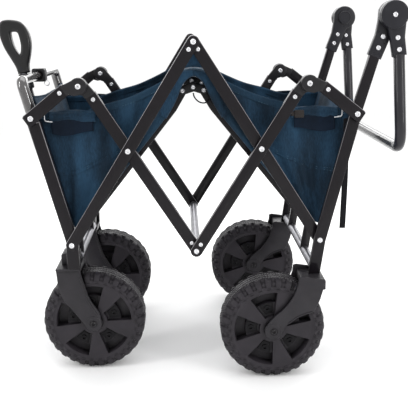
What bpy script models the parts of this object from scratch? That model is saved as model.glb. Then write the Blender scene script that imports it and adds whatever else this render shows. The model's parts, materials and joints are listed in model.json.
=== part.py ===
"""Folding beach cart, half folded: scissor sides, fabric tub, two handles, four wide wheels.

Front (the pull handle end) is -X, the near side is -Y, the ground is z = 0.
"""
import bpy
import bmesh
from math import sin, cos, radians, pi, atan2, hypot, degrees
from mathutils import Vector, Matrix

for ob in list(bpy.data.objects):
    bpy.data.objects.remove(ob, do_unlink=True)

# ---------------------------------------------------------------- driving dimensions (m)
FOLD = radians(32.3)      # scissor bars from the vertical, as stored
L_LOW = 0.2617            # lower pivot to crossing
L_UP = 0.2865             # crossing to apex, top and bottom
PIVOT_Z = 0.333           # height of the lower corner pivots
ELBOW_S, ELBOW_N = 0.1815, 0.0095   # elbow pivot along and off its bar
POST_TOP = (0.3679, 0.6325)         # upper corner pivot
FLOOR_PEAK = (0.0, 0.6880)          # centre pivot of the floor bars
FLOOR_Y = 0.105           # middle of each pair of floor bars
DECK = 0.026              # floor fabric above the bars' centre line
DECK_END = 0.086          # floor panels stop this far short of the peak
HUB = (0.4395, 0.8485)    # push handle pivot
RAIL_Z, RAIL_X = 0.7195, 0.3885     # front top rail

FACE = 0.225              # between the two inner bar layers
BAR_T, GAP = 0.012, 0.001
BAR_R = 0.0140            # half the bar's width
TUBE_R = 0.0125           # front frame tube
CROSS_R = 0.0110          # lower cross tubes
PIN_R, HOLE_R = 0.0040, 0.0045

WHEEL_R, WHEEL_W = 0.125, 0.078
DISC_R = 0.0865
AXLE_R = 0.0060
REAR_AXLE = (0.179, 0.239)          # x, |y|
FRONT_AXLE = (-0.255, 0.167)
SWIVEL_X = -0.309

TUB_Y = 0.1970            # middle of the side walls
CLOTH = 0.0030
HANDLE_FOOT = (-0.336, 0.296)
HANDLE_LEAN = radians(12.2)
HANDLE_LEN = 0.4290

SIN, COS = sin(FOLD), cos(FOLD)
CROSS_X = L_UP * SIN
CROSS_Z = PIVOT_Z + L_LOW * COS
APEX_Z = CROSS_Z + L_UP * COS
NADIR_Z = CROSS_Z - L_UP * COS
FOOT_X = CROSS_X + L_LOW * SIN
ELBOW = (CROSS_X + ELBOW_S * SIN + ELBOW_N * COS, CROSS_Z + ELBOW_S * COS - ELBOW_N * SIN)

# ---------------------------------------------------------------- scene and materials
coll = bpy.data.collections.new("beach_cart")
tools = bpy.data.collections.new("shaping")
for c in (coll, tools):
    bpy.context.scene.collection.children.link(c)

MATS = {}
SPECS = {
    "bar_paint": ((0.035, 0.031, 0.032), 0.35, 0.2),
    "frame_paint": ((0.045, 0.042, 0.045), 0.30, 0.3),
    "moulded": ((0.030, 0.030, 0.032), 0.55, 0.0),
    "wheel_body": ((0.042, 0.043, 0.046), 0.60, 0.0),
    "navy_cloth": ((0.045, 0.085, 0.170), 0.85, 0.0),
    "dark_web": ((0.020, 0.020, 0.024), 0.80, 0.0),
    "bright_tube": ((0.55, 0.56, 0.58), 0.30, 0.9),
}


def material(name):
    if name not in MATS:
        colour, rough, metal = SPECS[name]
        m = bpy.data.materials.new(name)
        m.use_nodes = True
        b = m.node_tree.nodes["Principled BSDF"]
        b.inputs["Base Color"].default_value = (*colour, 1)
        b.inputs["Roughness"].default_value = rough
        b.inputs["Metallic"].default_value = metal
        MATS[name] = m
    return MATS[name]


def put(name, bm, mat, pivot=(0, 0, 0), where=None):
    """Object from a bmesh in row coordinates, with its origin on the pivot."""
    bmesh.ops.remove_doubles(bm, verts=bm.verts, dist=1e-6)
    bmesh.ops.recalc_face_normals(bm, faces=bm.faces)
    bmesh.ops.translate(bm, verts=bm.verts, vec=-Vector(pivot))
    me = bpy.data.meshes.new(name)
    bm.to_mesh(me)
    bm.free()
    ob = bpy.data.objects.new(name, me)
    ob.location = pivot
    (where or coll).objects.link(ob)
    if mat:
        m = material(mat).copy()
        m.name = name + "_" + mat
        me.materials.append(m)
    return ob


def shape(ob, mode, *others):
    """Join others to ob, or cut them from it."""
    for other in others:
        for c in list(other.users_collection):
            c.objects.unlink(other)
        tools.objects.link(other)
        other.display_type = "WIRE"
        other.hide_render = True
        mod = ob.modifiers.new(other.name, "BOOLEAN")
        mod.operation, mod.solver, mod.object = mode, "EXACT", other
    return ob


# ---------------------------------------------------------------- shapes
def arc(cx, cz, r, a0, a1, n):
    return [(cx + r * cos(radians(a0 + (a1 - a0) * i / n)),
             cz + r * sin(radians(a0 + (a1 - a0) * i / n))) for i in range(n + 1)]


def ring(cx, cz, r, n=12):
    return [(cx + r * cos(2 * pi * i / n), cz + r * sin(2 * pi * i / n)) for i in range(n)]


def loop_edges(bm, pts, y):
    vs = [bm.verts.new((x, y, z)) for x, z in pts]
    return vs, [bm.edges.new((vs[i], vs[(i + 1) % len(vs)])) for i in range(len(vs))]


def skin(bm, a, b):
    for i in range(len(a)):
        j = (i + 1) % len(a)
        bm.faces.new((a[i], a[j], b[j], b[i]))


def plate(bm, outline, y0, y1, holes=(), near=(), far=()):
    """A solid between y0 and y1. holes go through. near and far are stacks that rise from or
    sink into a face: each is [(loop, y), (loop, y), ...] and its last loop is capped."""
    faces = {}
    tops = {}
    for side, y, stacks in (("a", y0, near), ("b", y1, far)):
        vs, es = loop_edges(bm, outline, y)
        faces[side] = vs
        tops[side] = []
        for h in holes:
            hv, he = loop_edges(bm, h, y)
            tops[side].append(hv)
            es += he
        for st in stacks:
            cur, he = loop_edges(bm, st[0][0], y)
            es += he
            for lp, yy in st[1:]:
                nxt = [bm.verts.new((x, yy, z)) for x, z in lp]
                skin(bm, cur, nxt)
                cur = nxt
            bm.faces.new(cur)
        bmesh.ops.triangle_fill(bm, use_beauty=True, edges=es)
    skin(bm, faces["a"], faces["b"])
    for u, v in zip(tops["a"], tops["b"]):
        skin(bm, u, v)
    return bm


def head(x, z, y, s, r=0.0085, h=0.0042):
    """A domed rivet head on a face at y, rising towards s."""
    return [(ring(x, z, r), y), (ring(x, z, r), y + s * h * 0.45),
            (ring(x, z, r * 0.6), y + s * h)]


def pin(x, z, y, s, run, r=PIN_R, tail=0.007):
    """A shank from a face at y through run, ended by a tail head."""
    return [(ring(x, z, r), y), (ring(x, z, r), y + s * (run + 0.0004)),
            (ring(x, z, tail), y + s * (run + 0.0004)), (ring(x, z, tail), y + s * (run + 0.0028))]


def rod(bm, p, q, r, n=14, bore=None):
    """A round bar, or a pipe when it has a bore."""
    p, q = Vector(p), Vector(q)
    rot = (q - p).to_track_quat("Z", "Y").to_matrix()
    rings = []
    for rad in ([r] if bore is None else [r, bore]):
        for e in (p, q):
            rings.append([bm.verts.new(e + rot @ Vector((rad * cos(2 * pi * i / n),
                                                         rad * sin(2 * pi * i / n), 0)))
                          for i in range(n)])
    skin(bm, rings[0], rings[1])
    if bore is None:
        bm.faces.new(rings[0])
        bm.faces.new(rings[1])
    else:
        skin(bm, rings[2], rings[3])
        skin(bm, rings[0], rings[2])
        skin(bm, rings[1], rings[3])
    return bm


def rounded(points, r, n=5):
    """A path with its inner corners rounded."""
    pts = [Vector(p) for p in points]
    out = [pts[0]]
    for a, b, c in zip(pts, pts[1:], pts[2:]):
        u, v = (a - b).normalized(), (c - b).normalized()
        d = min(r, (a - b).length * 0.45, (c - b).length * 0.45)
        s, e = b + u * d, b + v * d
        for i in range(n + 1):
            t = i / n
            out.append(s * (1 - t) ** 2 + b * 2 * t * (1 - t) + e * t ** 2)
    out.append(pts[-1])
    return out


def sweep(bm, path, r, n=12):
    """A round tube along a path, with flat ends."""
    rows = []
    up = None
    for i, p in enumerate(path):
        a = path[max(i - 1, 0)]
        b = path[min(i + 1, len(path) - 1)]
        t = (b - a).normalized()
        if up is None:
            up = Vector((0, 1, 0)) if abs(t.y) < 0.9 else Vector((0, 0, 1))
        side = t.cross(up).normalized()
        up = side.cross(t).normalized()
        rows.append([bm.verts.new(p + side * r * cos(2 * pi * k / n) + up * r
                                  * sin(2 * pi * k / n)) for k in range(n)])
    for u, v in zip(rows, rows[1:]):
        skin(bm, u, v)
    bm.faces.new(rows[0])
    bm.faces.new(rows[-1])
    return bm


def box(bm, x0, x1, y0, y1, z0, z1):
    v = [bm.verts.new((x, y, z)) for x in (x0, x1) for y in (y0, y1) for z in (z0, z1)]
    for f in ((0, 1, 3, 2), (4, 5, 7, 6), (0, 1, 5, 4), (2, 3, 7, 6), (0, 2, 6, 4), (1, 3, 7, 5)):
        bm.faces.new([v[i] for i in f])
    return bm


def chamfered(bm, x0, x1, y0, y1, z0, z1, c):
    """A block whose upright edges are cut back by c."""
    o = [(x0 + c, y0), (x1 - c, y0), (x1, y0 + c), (x1, y1 - c), (x1 - c, y1), (x0 + c, y1),
         (x0, y1 - c), (x0, y0 + c)]
    lo = [bm.verts.new((x, y, z0)) for x, y in o]
    hi = [bm.verts.new((x, y, z1)) for x, y in o]
    skin(bm, lo, hi)
    bm.faces.new(lo)
    bm.faces.new(hi)
    return bm


def band(points, half):
    """The outline of a strip that follows points in the XZ plane."""
    left, right = [], []
    for i, p in enumerate(points):
        a, b = points[max(i - 1, 0)], points[min(i + 1, len(points) - 1)]
        d = Vector((b[0] - a[0], b[1] - a[1])).normalized()
        left.append((p[0] - d.y * half, p[1] + d.x * half))
        right.append((p[0] + d.y * half, p[1] - d.x * half))
    return left + right[::-1]


def local(origin, angle):
    """Points given along and across a bar. angle is the bar's direction in degrees."""
    c, s = cos(radians(angle)), sin(radians(angle))
    return lambda p: (origin[0] + p[0] * c - p[1] * s, origin[1] + p[0] * s + p[1] * c)


def mirror_x(pts):
    return [(-x, z) for x, z in pts][::-1]


def layer(k):
    """Inner and outer face of bar layer k, as distances from the middle plane."""
    inner = FACE + GAP + (k - 1) * (BAR_T + 2 * GAP)
    return inner, inner + BAR_T


INNER = (FACE - GAP - BAR_T, FACE - GAP)
MID = layer(1)
OUTER = layer(2)


def stacks(kind, pts, lay, s, run=None):
    """Heads on the outward face and shanks on the inward face of a plate on side s."""
    if kind == "head":
        return [head(x, z, s * lay[1], s) for x, z in pts]
    return [pin(x, z, s * lay[0], -s, run) for x, z in pts]


def side_plate(name, outline, lay, s, mat, pivot, holes=(), outs=(), ins=()):
    """A plate in layer lay on side s (-1 near, +1 far)."""
    bm = bmesh.new()
    y0, y1 = sorted((s * lay[0], s * lay[1]))
    near, far = (outs, ins) if s < 0 else (ins, outs)
    plate(bm, outline, y0, y1, holes, near, far)
    return put(name, bm, mat, (pivot[0], 0, pivot[1]))


SIDES = (("near", -1), ("far", 1))
THROUGH = BAR_T + 2 * GAP
ZB = 90 - degrees(FOLD)

# ---------------------------------------------------------------- scissor bars
span = L_LOW + L_UP
stad = arc(0, 0, BAR_R, 90, 270, 6) + arc(span, 0, BAR_R, -90, 90, 6)
rise = local((-FOOT_X, PIVOT_Z), ZB)
rising = [rise(p) for p in stad]
es, en = ELBOW_S, ELBOW_N
elbow_end = (arc(-L_UP, 0, BAR_R, -90, -270, 6)
             + [(es - 0.034, BAR_R)] + arc(es, en, 0.0170, 105, -90, 7)
             + [(es - 0.034, -BAR_R)])
drop_f = local((-CROSS_X, CROSS_Z), 180 - ZB)
# the elbow pivot sits off the bar on its outer, lower side
dropping = [drop_f(p) for p in elbow_end]
FP1, FC, TOP, BOT = (-FOOT_X, PIVOT_Z), (-CROSS_X, CROSS_Z), (0.0, APEX_Z), (0.0, NADIR_Z)
FE = (-ELBOW[0], ELBOW[1])
FP2 = (-POST_TOP[0], POST_TOP[1])
RP1, RC, RE, RP2 = (FOOT_X, PIVOT_Z), (CROSS_X, CROSS_Z), ELBOW, POST_TOP

for tag, s in SIDES:
    # front rising bar: outer face carries the heads, shanks pass the inner layer
    side_plate("bar_front_rising_" + tag, rising, MID, s, "bar_paint", FP1, (),
               stacks("head", [FP1, FC, TOP], MID, s),
               stacks("pin", [FP1], MID, s, 2 * TUBE_R + 2 * GAP)
               + stacks("pin", [FC, TOP], MID, s, THROUGH))
    side_plate("bar_rear_rising_" + tag, mirror_x(rising), INNER, s, "bar_paint", TOP,
               [ring(*RP1, HOLE_R), ring(*RC, HOLE_R), ring(*TOP, HOLE_R)])
    side_plate("bar_front_dropping_" + tag, dropping, INNER, s, "bar_paint", FC,
               [ring(*FC, HOLE_R), ring(*FE, HOLE_R), ring(*BOT, HOLE_R)])
    side_plate("bar_rear_dropping_" + tag, mirror_x(dropping), MID, s, "bar_paint", RC,
               [ring(*RE, HOLE_R)],
               stacks("head", [RC, BOT], MID, s), stacks("pin", [RC, BOT], MID, s, THROUGH))

# ---------------------------------------------------------------- elbow links
dx, dz = POST_TOP[0] - ELBOW[0], POST_TOP[1] - ELBOW[1]
LINK = hypot(dx, dz)
link_pts = ([(0.030, 0.0235)] + [(LINK - 0.01, 0.0145)] + arc(LINK, 0, 0.0145, 90, -90, 6)
            + arc(0, 0, 0.0170, -80, -250, 6) + [(0.008, 0.0215)])
rear_link = [local(ELBOW, degrees(atan2(dz, dx)))(p) for p in link_pts]
for tag, s in SIDES:
    side_plate("link_rear_" + tag, rear_link, OUTER, s, "bar_paint", RE, (),
               stacks("head", [RE, RP2], OUTER, s), stacks("pin", [RE], OUTER, s, THROUGH))
    side_plate("link_front_" + tag, mirror_x(rear_link), MID, s, "bar_paint", FE, (),
               stacks("head", [FE, FP2], MID, s), stacks("pin", [FE], MID, s, THROUGH))

# ---------------------------------------------------------------- bottom apex cross tube
bm = bmesh.new()
rod(bm, (0, -INNER[0] + 0.0003, NADIR_Z), (0, INNER[0] - 0.0003, NADIR_Z), 0.0105, 14, 0.0080)
put("apex_cross_tube", bm, "frame_paint", (0, 0, NADIR_Z))

# ---------------------------------------------------------------- front end
TY = FACE - GAP - TUBE_R
half = [(-FOOT_X - 0.002, -TY, 0.3016), (-FOOT_X, -TY, PIVOT_Z), (FP2[0], -TY, FP2[1]),
        (-RAIL_X, -TY, RAIL_Z)]
path = half + [(x, -y, z) for x, y, z in half[::-1]]
bm = bmesh.new()
sweep(bm, rounded(path, 0.045, 4), TUBE_R, 12)
frame = put("front_frame", bm, "frame_paint", (-FOOT_X, 0, PIVOT_Z))
bm = bmesh.new()
for s in (-1, 1):
    rod(bm, (FP1[0], s * 0.190, FP1[1]), (FP1[0], s * 0.232, FP1[1]), HOLE_R)
shape(frame, "DIFFERENCE", put("frame_holes", bm, None))

FCX, FCZ = -0.293, 0.275
bm = bmesh.new()
rod(bm, (FCX, -0.1397, FCZ), (FCX, 0.1397, FCZ), CROSS_R, 14)
cross = put("front_cross_tube", bm, "bright_tube", (FCX, 0, FCZ))


def lugs(cross, name, outline, foot, side):
    """A plate and pin for the foot of each floor bar. side is where the bar lies in its pair."""
    for tag, s in SIDES:
        mid = s * FLOOR_Y
        y0, y1 = sorted((mid + side * 0.0145, mid + side * 0.0225))
        start = y0 if side > 0 else y1
        stud = [[(ring(*foot, PIN_R), start), (ring(*foot, PIN_R), mid + side * 0.0001),
                 (ring(*foot, 0.007), mid + side * 0.0001), (ring(*foot, 0.007), mid - side * 0.0025)]]
        bm = bmesh.new()
        plate(bm, outline, y0, y1, (), stud if side > 0 else (), stud if side < 0 else ())
        shape(cross, "UNION", put(name + tag, bm, None))


lugs(cross, "front_lug_", [(-FOOT_X - 0.011, FCZ), (-FOOT_X + 0.011, FCZ)]
     + arc(*FP1, 0.011, 0, 180, 6), FP1, -1)

for tag, s in SIDES:
    bm = bmesh.new()
    y0, y1 = sorted((s * 0.140, s * 0.2245))
    chamfered(bm, -0.337, -0.280, y0, y1, 0.264, 0.300, 0.006)
    sock = put("caster_socket_" + tag, bm, "moulded", (SWIVEL_X, s * FRONT_AXLE[1], 0.264))
    bm = bmesh.new()
    rod(bm, (SWIVEL_X, s * FRONT_AXLE[1], 0.250), (SWIVEL_X, s * FRONT_AXLE[1], 0.2925), 0.0074)
    shape(sock, "DIFFERENCE", put("socket_bore_" + tag, bm, None))

# ---------------------------------------------------------------- rear end
RCX, RCZ = 0.283, 0.262
spine = [(0.2806, 0.2476), (RP1[0], RP1[1]), (RP2[0], RP2[1]), (0.4028, 0.7545)]
for tag, s in SIDES:
    side_plate("rear_post_" + tag, band(spine, BAR_R), MID, s, "frame_paint", RP1, (),
               stacks("head", [RP1], MID, s), stacks("pin", [RP1], MID, s, THROUGH))
bm = bmesh.new()
rod(bm, (RCX, -MID[0] + 0.0003, RCZ), (RCX, MID[0] - 0.0003, RCZ), CROSS_R, 14)
cross = put("rear_cross_tube", bm, "bright_tube", (RCX, 0, RCZ))
lugs(cross, "rear_lug_", [(RCX - 0.004, RCZ), (RCX + 0.012, RCZ)] + arc(*RP1, 0.011, 0, 180, 6),
     RP1, 1)

# ---------------------------------------------------------------- forks and wheels
def fork(name, x, y, crown, leg, stem):
    """Two legs, a crown block, an axle and, on a caster, a stem."""
    hw = WHEEL_W / 2
    bm = bmesh.new()
    chamfered(bm, crown[0], crown[1], y - hw - 0.0105, y + hw + 0.0105, crown[2], crown[3], 0.004)
    pivot = (stem, y, crown[3]) if stem else (x, y, WHEEL_R)
    ob = put(name, bm, "moulded", pivot)
    parts = []
    for k, s in enumerate((-1, 1)):
        bm = bmesh.new()
        y0, y1 = sorted((y + s * (hw + 0.0025), y + s * (hw + 0.0105)))
        out = y0 if s < 0 else y1
        cap = [[(ring(x, WHEEL_R, 0.0125), 0), (ring(x, WHEEL_R, 0.0125), out + s * 0.004),
                (ring(x, WHEEL_R, 0.0095), out + s * 0.0055)]]
        plate(bm, leg, y0, y1, (), cap if s < 0 else (), cap if s > 0 else ())
        parts.append(put(name + "_leg%d" % k, bm, None))
    bm = bmesh.new()
    rod(bm, (x, y - hw - 0.006, WHEEL_R), (x, y + hw + 0.006, WHEEL_R), AXLE_R)
    parts.append(put(name + "_axle", bm, None))
    if stem:
        bm = bmesh.new()
        rod(bm, (stem, y, crown[3] - 0.004), (stem, y, 0.2915), 0.0070)
        parts.append(put(name + "_stem", bm, None))
    return shape(ob, "UNION", *parts)


def wheel(tag, x, y, first):
    """The tread body with scalloped shoulders, and the disc with five pockets a side."""
    hw = WHEEL_W / 2
    n = 40
    full = 1 / cos(pi / n)
    bm = bmesh.new()
    rows = []
    for i in range(n):
        a = 2 * pi * (i + 0.5) / n
        dip = 0.0035 if i % 2 else 0.0
        prof = [(DISC_R + 0.0005, -hw), (WHEEL_R - 0.014, -hw), (WHEEL_R - 0.003 - dip, -hw + 0.010),
                (WHEEL_R, -0.012), (WHEEL_R, 0.012), (WHEEL_R - 0.003 - dip, hw - 0.010),
                (WHEEL_R - 0.014, hw), (DISC_R + 0.0005, hw)]
        rows.append([bm.verts.new((x + full * r * cos(a), y + d, WHEEL_R + full * r * sin(a)))
                     for r, d in prof])
    for i in range(n):
        u, v = rows[i], rows[(i + 1) % n]
        for k in range(len(u)):
            m = (k + 1) % len(u)
            bm.faces.new((u[k], u[m], v[m], v[k]))
    put("tyre_" + tag, bm, "wheel_body", (x, y, WHEEL_R))
    pockets = []
    for i in range(5):
        mid = first + 72 * i
        outer = arc(x, WHEEL_R, 0.0770, mid - 27, mid + 27, 5)
        inner = arc(x, WHEEL_R, 0.0300, mid + 18, mid - 18, 2)
        pockets.append(outer + inner)
    bm = bmesh.new()
    deep = 0.006
    yn, yf = y - hw + 0.003, y + hw - 0.003
    plate(bm, ring(x, WHEEL_R, DISC_R, 40), yn, yf, [ring(x, WHEEL_R, AXLE_R + 0.0005)],
          [[(p, yn), (p, yn + deep)] for p in pockets], [[(p, yf), (p, yf - deep)] for p in pockets])
    put("wheel_disc_" + tag, bm, "wheel_body", (x, y, WHEEL_R))


rx = REAR_AXLE[0]
rear_leg = ([(0.312, 0.2440), (0.272, 0.2440), (0.262, 0.205), (0.240, 0.172), (0.205, 0.150)]
            + arc(rx, WHEEL_R, 0.0200, 70, 290, 10)
            + [(0.205, 0.112), (0.240, 0.122), (0.268, 0.150), (0.288, 0.185), (0.303, 0.215)])
fx = FRONT_AXLE[0]
front_leg = ([(-0.336, 0.2630), (-0.336, 0.222), (-0.331, 0.180), (-0.312, 0.145), (-0.285, 0.118)]
             + arc(fx, WHEEL_R, 0.0200, 235, 415, 10)
             + [(-0.262, 0.158), (-0.279, 0.195), (-0.284, 0.2630)])
for tag, s in SIDES:
    fork("fork_rear_" + tag, rx, s * REAR_AXLE[1], (0.272, 0.312, 0.2265, 0.2445), rear_leg, None)
    wheel("rear_" + tag, rx, s * REAR_AXLE[1], 105)
    fork("fork_front_" + tag, fx, s * FRONT_AXLE[1], (-0.336, -0.284, 0.2530, 0.2635), front_leg,
         SWIVEL_X)
    wheel("front_" + tag, fx, s * FRONT_AXLE[1], 94)

# ---------------------------------------------------------------- push handle and its hubs
def hub_half(angle, reach):
    """A disc with a sleeve that leaves it at an angle (degrees in the XZ plane)."""
    f = local(HUB, angle)
    body = arc(0, 0, 0.0315, 36, 324, 16) + [(0.045, -0.0175), (reach, -0.0160), (reach, 0.0160),
                                             (0.045, 0.0175)]
    return [f(p) for p in body]


FIX = (0.2240, 0.2395)
MOV = (0.2402, 0.2570)
a_post = degrees(atan2(0.7573 - HUB[1], 0.4036 - HUB[0]))
a_down = degrees(atan2(0.7600 - HUB[1], 0.4560 - HUB[0]))
HY = sum(MOV) / 2
reach_p = hypot(0.7573 - HUB[1], 0.4036 - HUB[0]) - 0.0003
for tag, s in SIDES:
    sink = [[(ring(*HUB, 0.0100), s * FIX[0]), (ring(*HUB, 0.0100), s * (FIX[0] + 0.0085))]]
    side_plate("hub_fixed_" + tag, hub_half(a_post, reach_p), FIX, s, "moulded", HUB,
               ins=sink)
    side_plate("hub_moving_" + tag, hub_half(a_down, 0.0900), MOV, s, "moulded", HUB,
               outs=[head(*HUB, s * MOV[1], s, 0.009, 0.004)])
    bm = bmesh.new()
    rod(bm, (HUB[0], s * (FIX[0] + 0.0035), HUB[1]), (HUB[0], s * (FIX[0] - 0.0055), HUB[1]), 0.0094)
    put("release_button_" + tag, bm, "moulded", (HUB[0], s * FIX[0], HUB[1]))
top = local(HUB, a_down)((0.0922, 0))
low = (0.4711, 0.5500)
leg = [(top[0], -HY, top[1]), (low[0], -HY, low[1])]
bm = bmesh.new()
sweep(bm, rounded(leg + [(x, -y, z) for x, y, z in leg[::-1]], 0.040, 4), 0.0115)
put("push_handle", bm, "frame_paint", (HUB[0], 0, HUB[1]))

# ---------------------------------------------------------------- pull handle
HD = Vector((-sin(HANDLE_LEAN), 0, cos(HANDLE_LEAN)))
HF = Vector((HANDLE_FOOT[0], 0, HANDLE_FOOT[1]))
bm = bmesh.new()
rod(bm, HF - HD * 0.010, HF + HD * HANDLE_LEN, 0.0115, 14, 0.0096)
outer = put("handle_outer_tube", bm, "frame_paint", tuple(HF))
bm = bmesh.new()
rod(bm, HF + Vector((0, -0.0225, 0)), HF + Vector((0, 0.0225, 0)), 0.0045)
shape(outer, "UNION", put("handle_pin", bm, None))
bm = bmesh.new()
rod(bm, HF + HD * 0.080, HF + HD * (HANDLE_LEN + 0.0110), 0.0090)
put("handle_inner_tube", bm, "bright_tube", tuple(HF))

bm = bmesh.new()
ears = [(FCX - 0.0115, 0.2645), (FCX - 0.0115, 0.2855)] + arc(*HANDLE_FOOT, 0.0115, 75, 235, 7)
plate(bm, ears, -0.021, 0.021, [ring(*HANDLE_FOOT, 0.0050)])
ear = put("handle_bracket", bm, "moulded", tuple(HF))
bm = bmesh.new()
box(bm, -0.360, FCX - 0.0160, -0.0125, 0.0125, 0.250, 0.330)
shape(ear, "DIFFERENCE", put("bracket_slot", bm, None))

GTOP = HF + HD * (HANDLE_LEN + 0.0123)
g = local((GTOP.x, GTOP.z), 90 + 8)
loop_out = ([g(p) for p in [(0.0, -0.0125), (0.012, -0.0150), (0.030, -0.0280), (0.052, -0.0390)]]
            + [g(p) for p in arc(0.092, 0, 0.0415, -70, 70, 10)]
            + [g(p) for p in [(0.052, 0.0390), (0.030, 0.0280), (0.012, 0.0150), (0.0, 0.0125)]])
hole = ([g(p) for p in [(0.040, -0.0080), (0.060, -0.0235)]]
        + [g(p) for p in arc(0.088, 0, 0.0255, -60, 60, 8)]
        + [g(p) for p in [(0.060, 0.0235), (0.040, 0.0080)]])
bm = bmesh.new()
plate(bm, loop_out, -0.0135, 0.0135, [hole])
grip = put("grip", bm, "moulded", tuple(GTOP))
bev = grip.modifiers.new("edges", "BEVEL")
bev.width, bev.segments, bev.limit_method = 0.0025, 1, "ANGLE"

# the clip that holds the stowed handle to the rail
bm = bmesh.new()
box(bm, -RAIL_X - 0.0165, -RAIL_X + 0.0165, -0.0170, 0.0170, RAIL_Z - 0.0165, RAIL_Z + 0.0165)
clip = put("rail_clip", bm, "moulded", (-RAIL_X, 0, RAIL_Z))
bm = bmesh.new()
rod(bm, (-RAIL_X, -0.03, RAIL_Z), (-RAIL_X, 0.03, RAIL_Z), TUBE_R + 0.0006)
shape(clip, "DIFFERENCE", put("clip_bore", bm, None))
for k, s in enumerate((-1, 1)):
    bm = bmesh.new()
    y0, y1 = sorted((s * 0.0125, s * 0.0168))
    box(bm, -0.4370, -RAIL_X - 0.0150, y0, y1, RAIL_Z - 0.0163, RAIL_Z + 0.0030)
    shape(clip, "UNION", put("clip_finger%d" % k, bm, None))

# ---------------------------------------------------------------- floor bars, panels, lift cord
fl = hypot(FOOT_X, FLOOR_PEAK[1] - PIVOT_Z)
fa = degrees(atan2(FLOOR_PEAK[1] - PIVOT_Z, FOOT_X))
fbar = arc(0, 0, 0.0120, 90, 270, 6) + arc(fl, 0, 0.0120, -90, 90, 6)
ff = local(FP1, fa)
HINGE = [ff((fl, 0)), ff((fl - 0.0255, 0))]
for name, m in (("front", 1), ("rear", -1)):
    root = FP1 if m > 0 else RP1
    pts = [(m * x, z) for x, z in [ff(p) for p in fbar]]
    ends = [(m * x, z) for x, z in HINGE]
    for tag, s in SIDES:
        y0, y1 = sorted((s * FLOOR_Y - m * 0.0005, s * FLOOR_Y - m * 0.0125))
        dome = [head(x, z, y0 if m > 0 else y1, -m, 0.0065, 0.003) for x, z in ends]
        bm = bmesh.new()
        plate(bm, pts, y0, y1, [ring(*root, HOLE_R)], dome if m > 0 else (), dome if m < 0 else ())
        put("floor_bar_%s_%s" % (name, tag), bm, "bar_paint", (root[0], 0, root[1]))
    # the fabric stands clear of the bars on its padding
    bm = bmesh.new()
    deck = [ff((0.070, DECK)), ff((fl - DECK_END, DECK)), ff((fl - DECK_END, DECK + CLOTH)),
            ff((0.070, DECK + CLOTH))]
    plate(bm, [(m * x, z) for x, z in deck], -TUB_Y + 0.003, TUB_Y - 0.003)
    put("floor_panel_" + name, bm, "navy_cloth", (root[0], 0, root[1]))

crest = ff((fl - DECK_END + 0.0095, DECK))
lid = [crest, (-0.022, FLOOR_PEAK[1] + 0.0290), (0.022, FLOOR_PEAK[1] + 0.0290),
       (-crest[0], crest[1])]
lid += [(x, z + CLOTH * 1.4) for x, z in lid[::-1]]
bm = bmesh.new()
plate(bm, lid, -TUB_Y + 0.003, TUB_Y - 0.003)
put("floor_peak_fabric", bm, "navy_cloth", (0, 0, FLOOR_PEAK[1]))

bm = bmesh.new()
cord = [(0.000, -0.1240, 0.6745), (0.003, -0.1250, 0.6640), (0.012, -0.1255, 0.6540),
        (0.024, -0.1255, 0.6500), (0.034, -0.1250, 0.6530), (0.037, -0.1240, 0.6590)]
sweep(bm, rounded(cord, 0.008, 2), 0.0018, 6)
put("lift_cord", bm, "dark_web", (0, -0.124, FLOOR_PEAK[1]))

# ---------------------------------------------------------------- tub
def post_x(z):
    """Centre line of an end post at height z."""
    t = (z - PIVOT_Z) / (POST_TOP[1] - PIVOT_Z)
    return FOOT_X + (POST_TOP[0] - FOOT_X) * t


rim = [(-0.338, 0.640), (-0.314, 0.641), (-0.264, 0.6395), (-0.197, 0.659), (-0.137, 0.676),
       (-0.065, 0.709), (0.0, 0.752)]
wall = rim + [(-x, z) for x, z in rim[-2::-1]]
base = 0.362
wall += [(post_x(base) - 0.024, base), (0.0, FLOOR_PEAK[1] + 0.020), (-post_x(base) + 0.024, base)]
for tag, s in SIDES:
    bm = bmesh.new()
    y0, y1 = sorted((s * (TUB_Y - CLOTH / 2), s * (TUB_Y + CLOTH / 2)))
    plate(bm, wall, y0, y1)
    put("side_wall_" + tag, bm, "navy_cloth", (0, s * TUB_Y, APEX_Z))
for name, m in (("front", -1), ("rear", 1)):
    zt = 0.640 if m < 0 else 0.652
    lean = [(m * (post_x(z) - 0.0175), z) for z in (base + 0.022, zt)]
    lean += [(x - m * CLOTH, z) for x, z in lean[::-1]]
    bm = bmesh.new()
    plate(bm, lean, -TUB_Y + 0.003, TUB_Y - 0.003)
    put(name + "_panel", bm, "navy_cloth", (m * FOOT_X, 0, PIVOT_Z))

bm = bmesh.new()
pz0, pz1 = 0.392, 0.488
pouch = [(-post_x(pz0) + 0.0172, pz0), (-post_x(pz1) + 0.0172, pz1), (-post_x(pz1) + 0.004, pz1),
         (-post_x(0.455) - 0.012, 0.455), (-post_x(0.415) - 0.014, 0.415), (-post_x(pz0) - 0.004, pz0)]
plate(bm, pouch, -0.172, 0.172)
put("front_pocket", bm, "navy_cloth", (-FOOT_X, 0, PIVOT_Z))

bm = bmesh.new()
box(bm, 0.3480, 0.3496, -0.2125, -0.1965, 0.354, 0.618)
put("rear_strap", bm, "dark_web", (0.349, -0.2045, 0.618))
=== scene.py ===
"""Folding beach cart, half folded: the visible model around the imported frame.

Front (the pull handle end) is -X, the near side is -Y, the ground is z = 0. Lengths are metres.
"""
import json
from math import sin, cos, pi, radians, atan2, hypot, exp

import bmesh
import bpy
from mathutils import Matrix, Vector, noise


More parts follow.
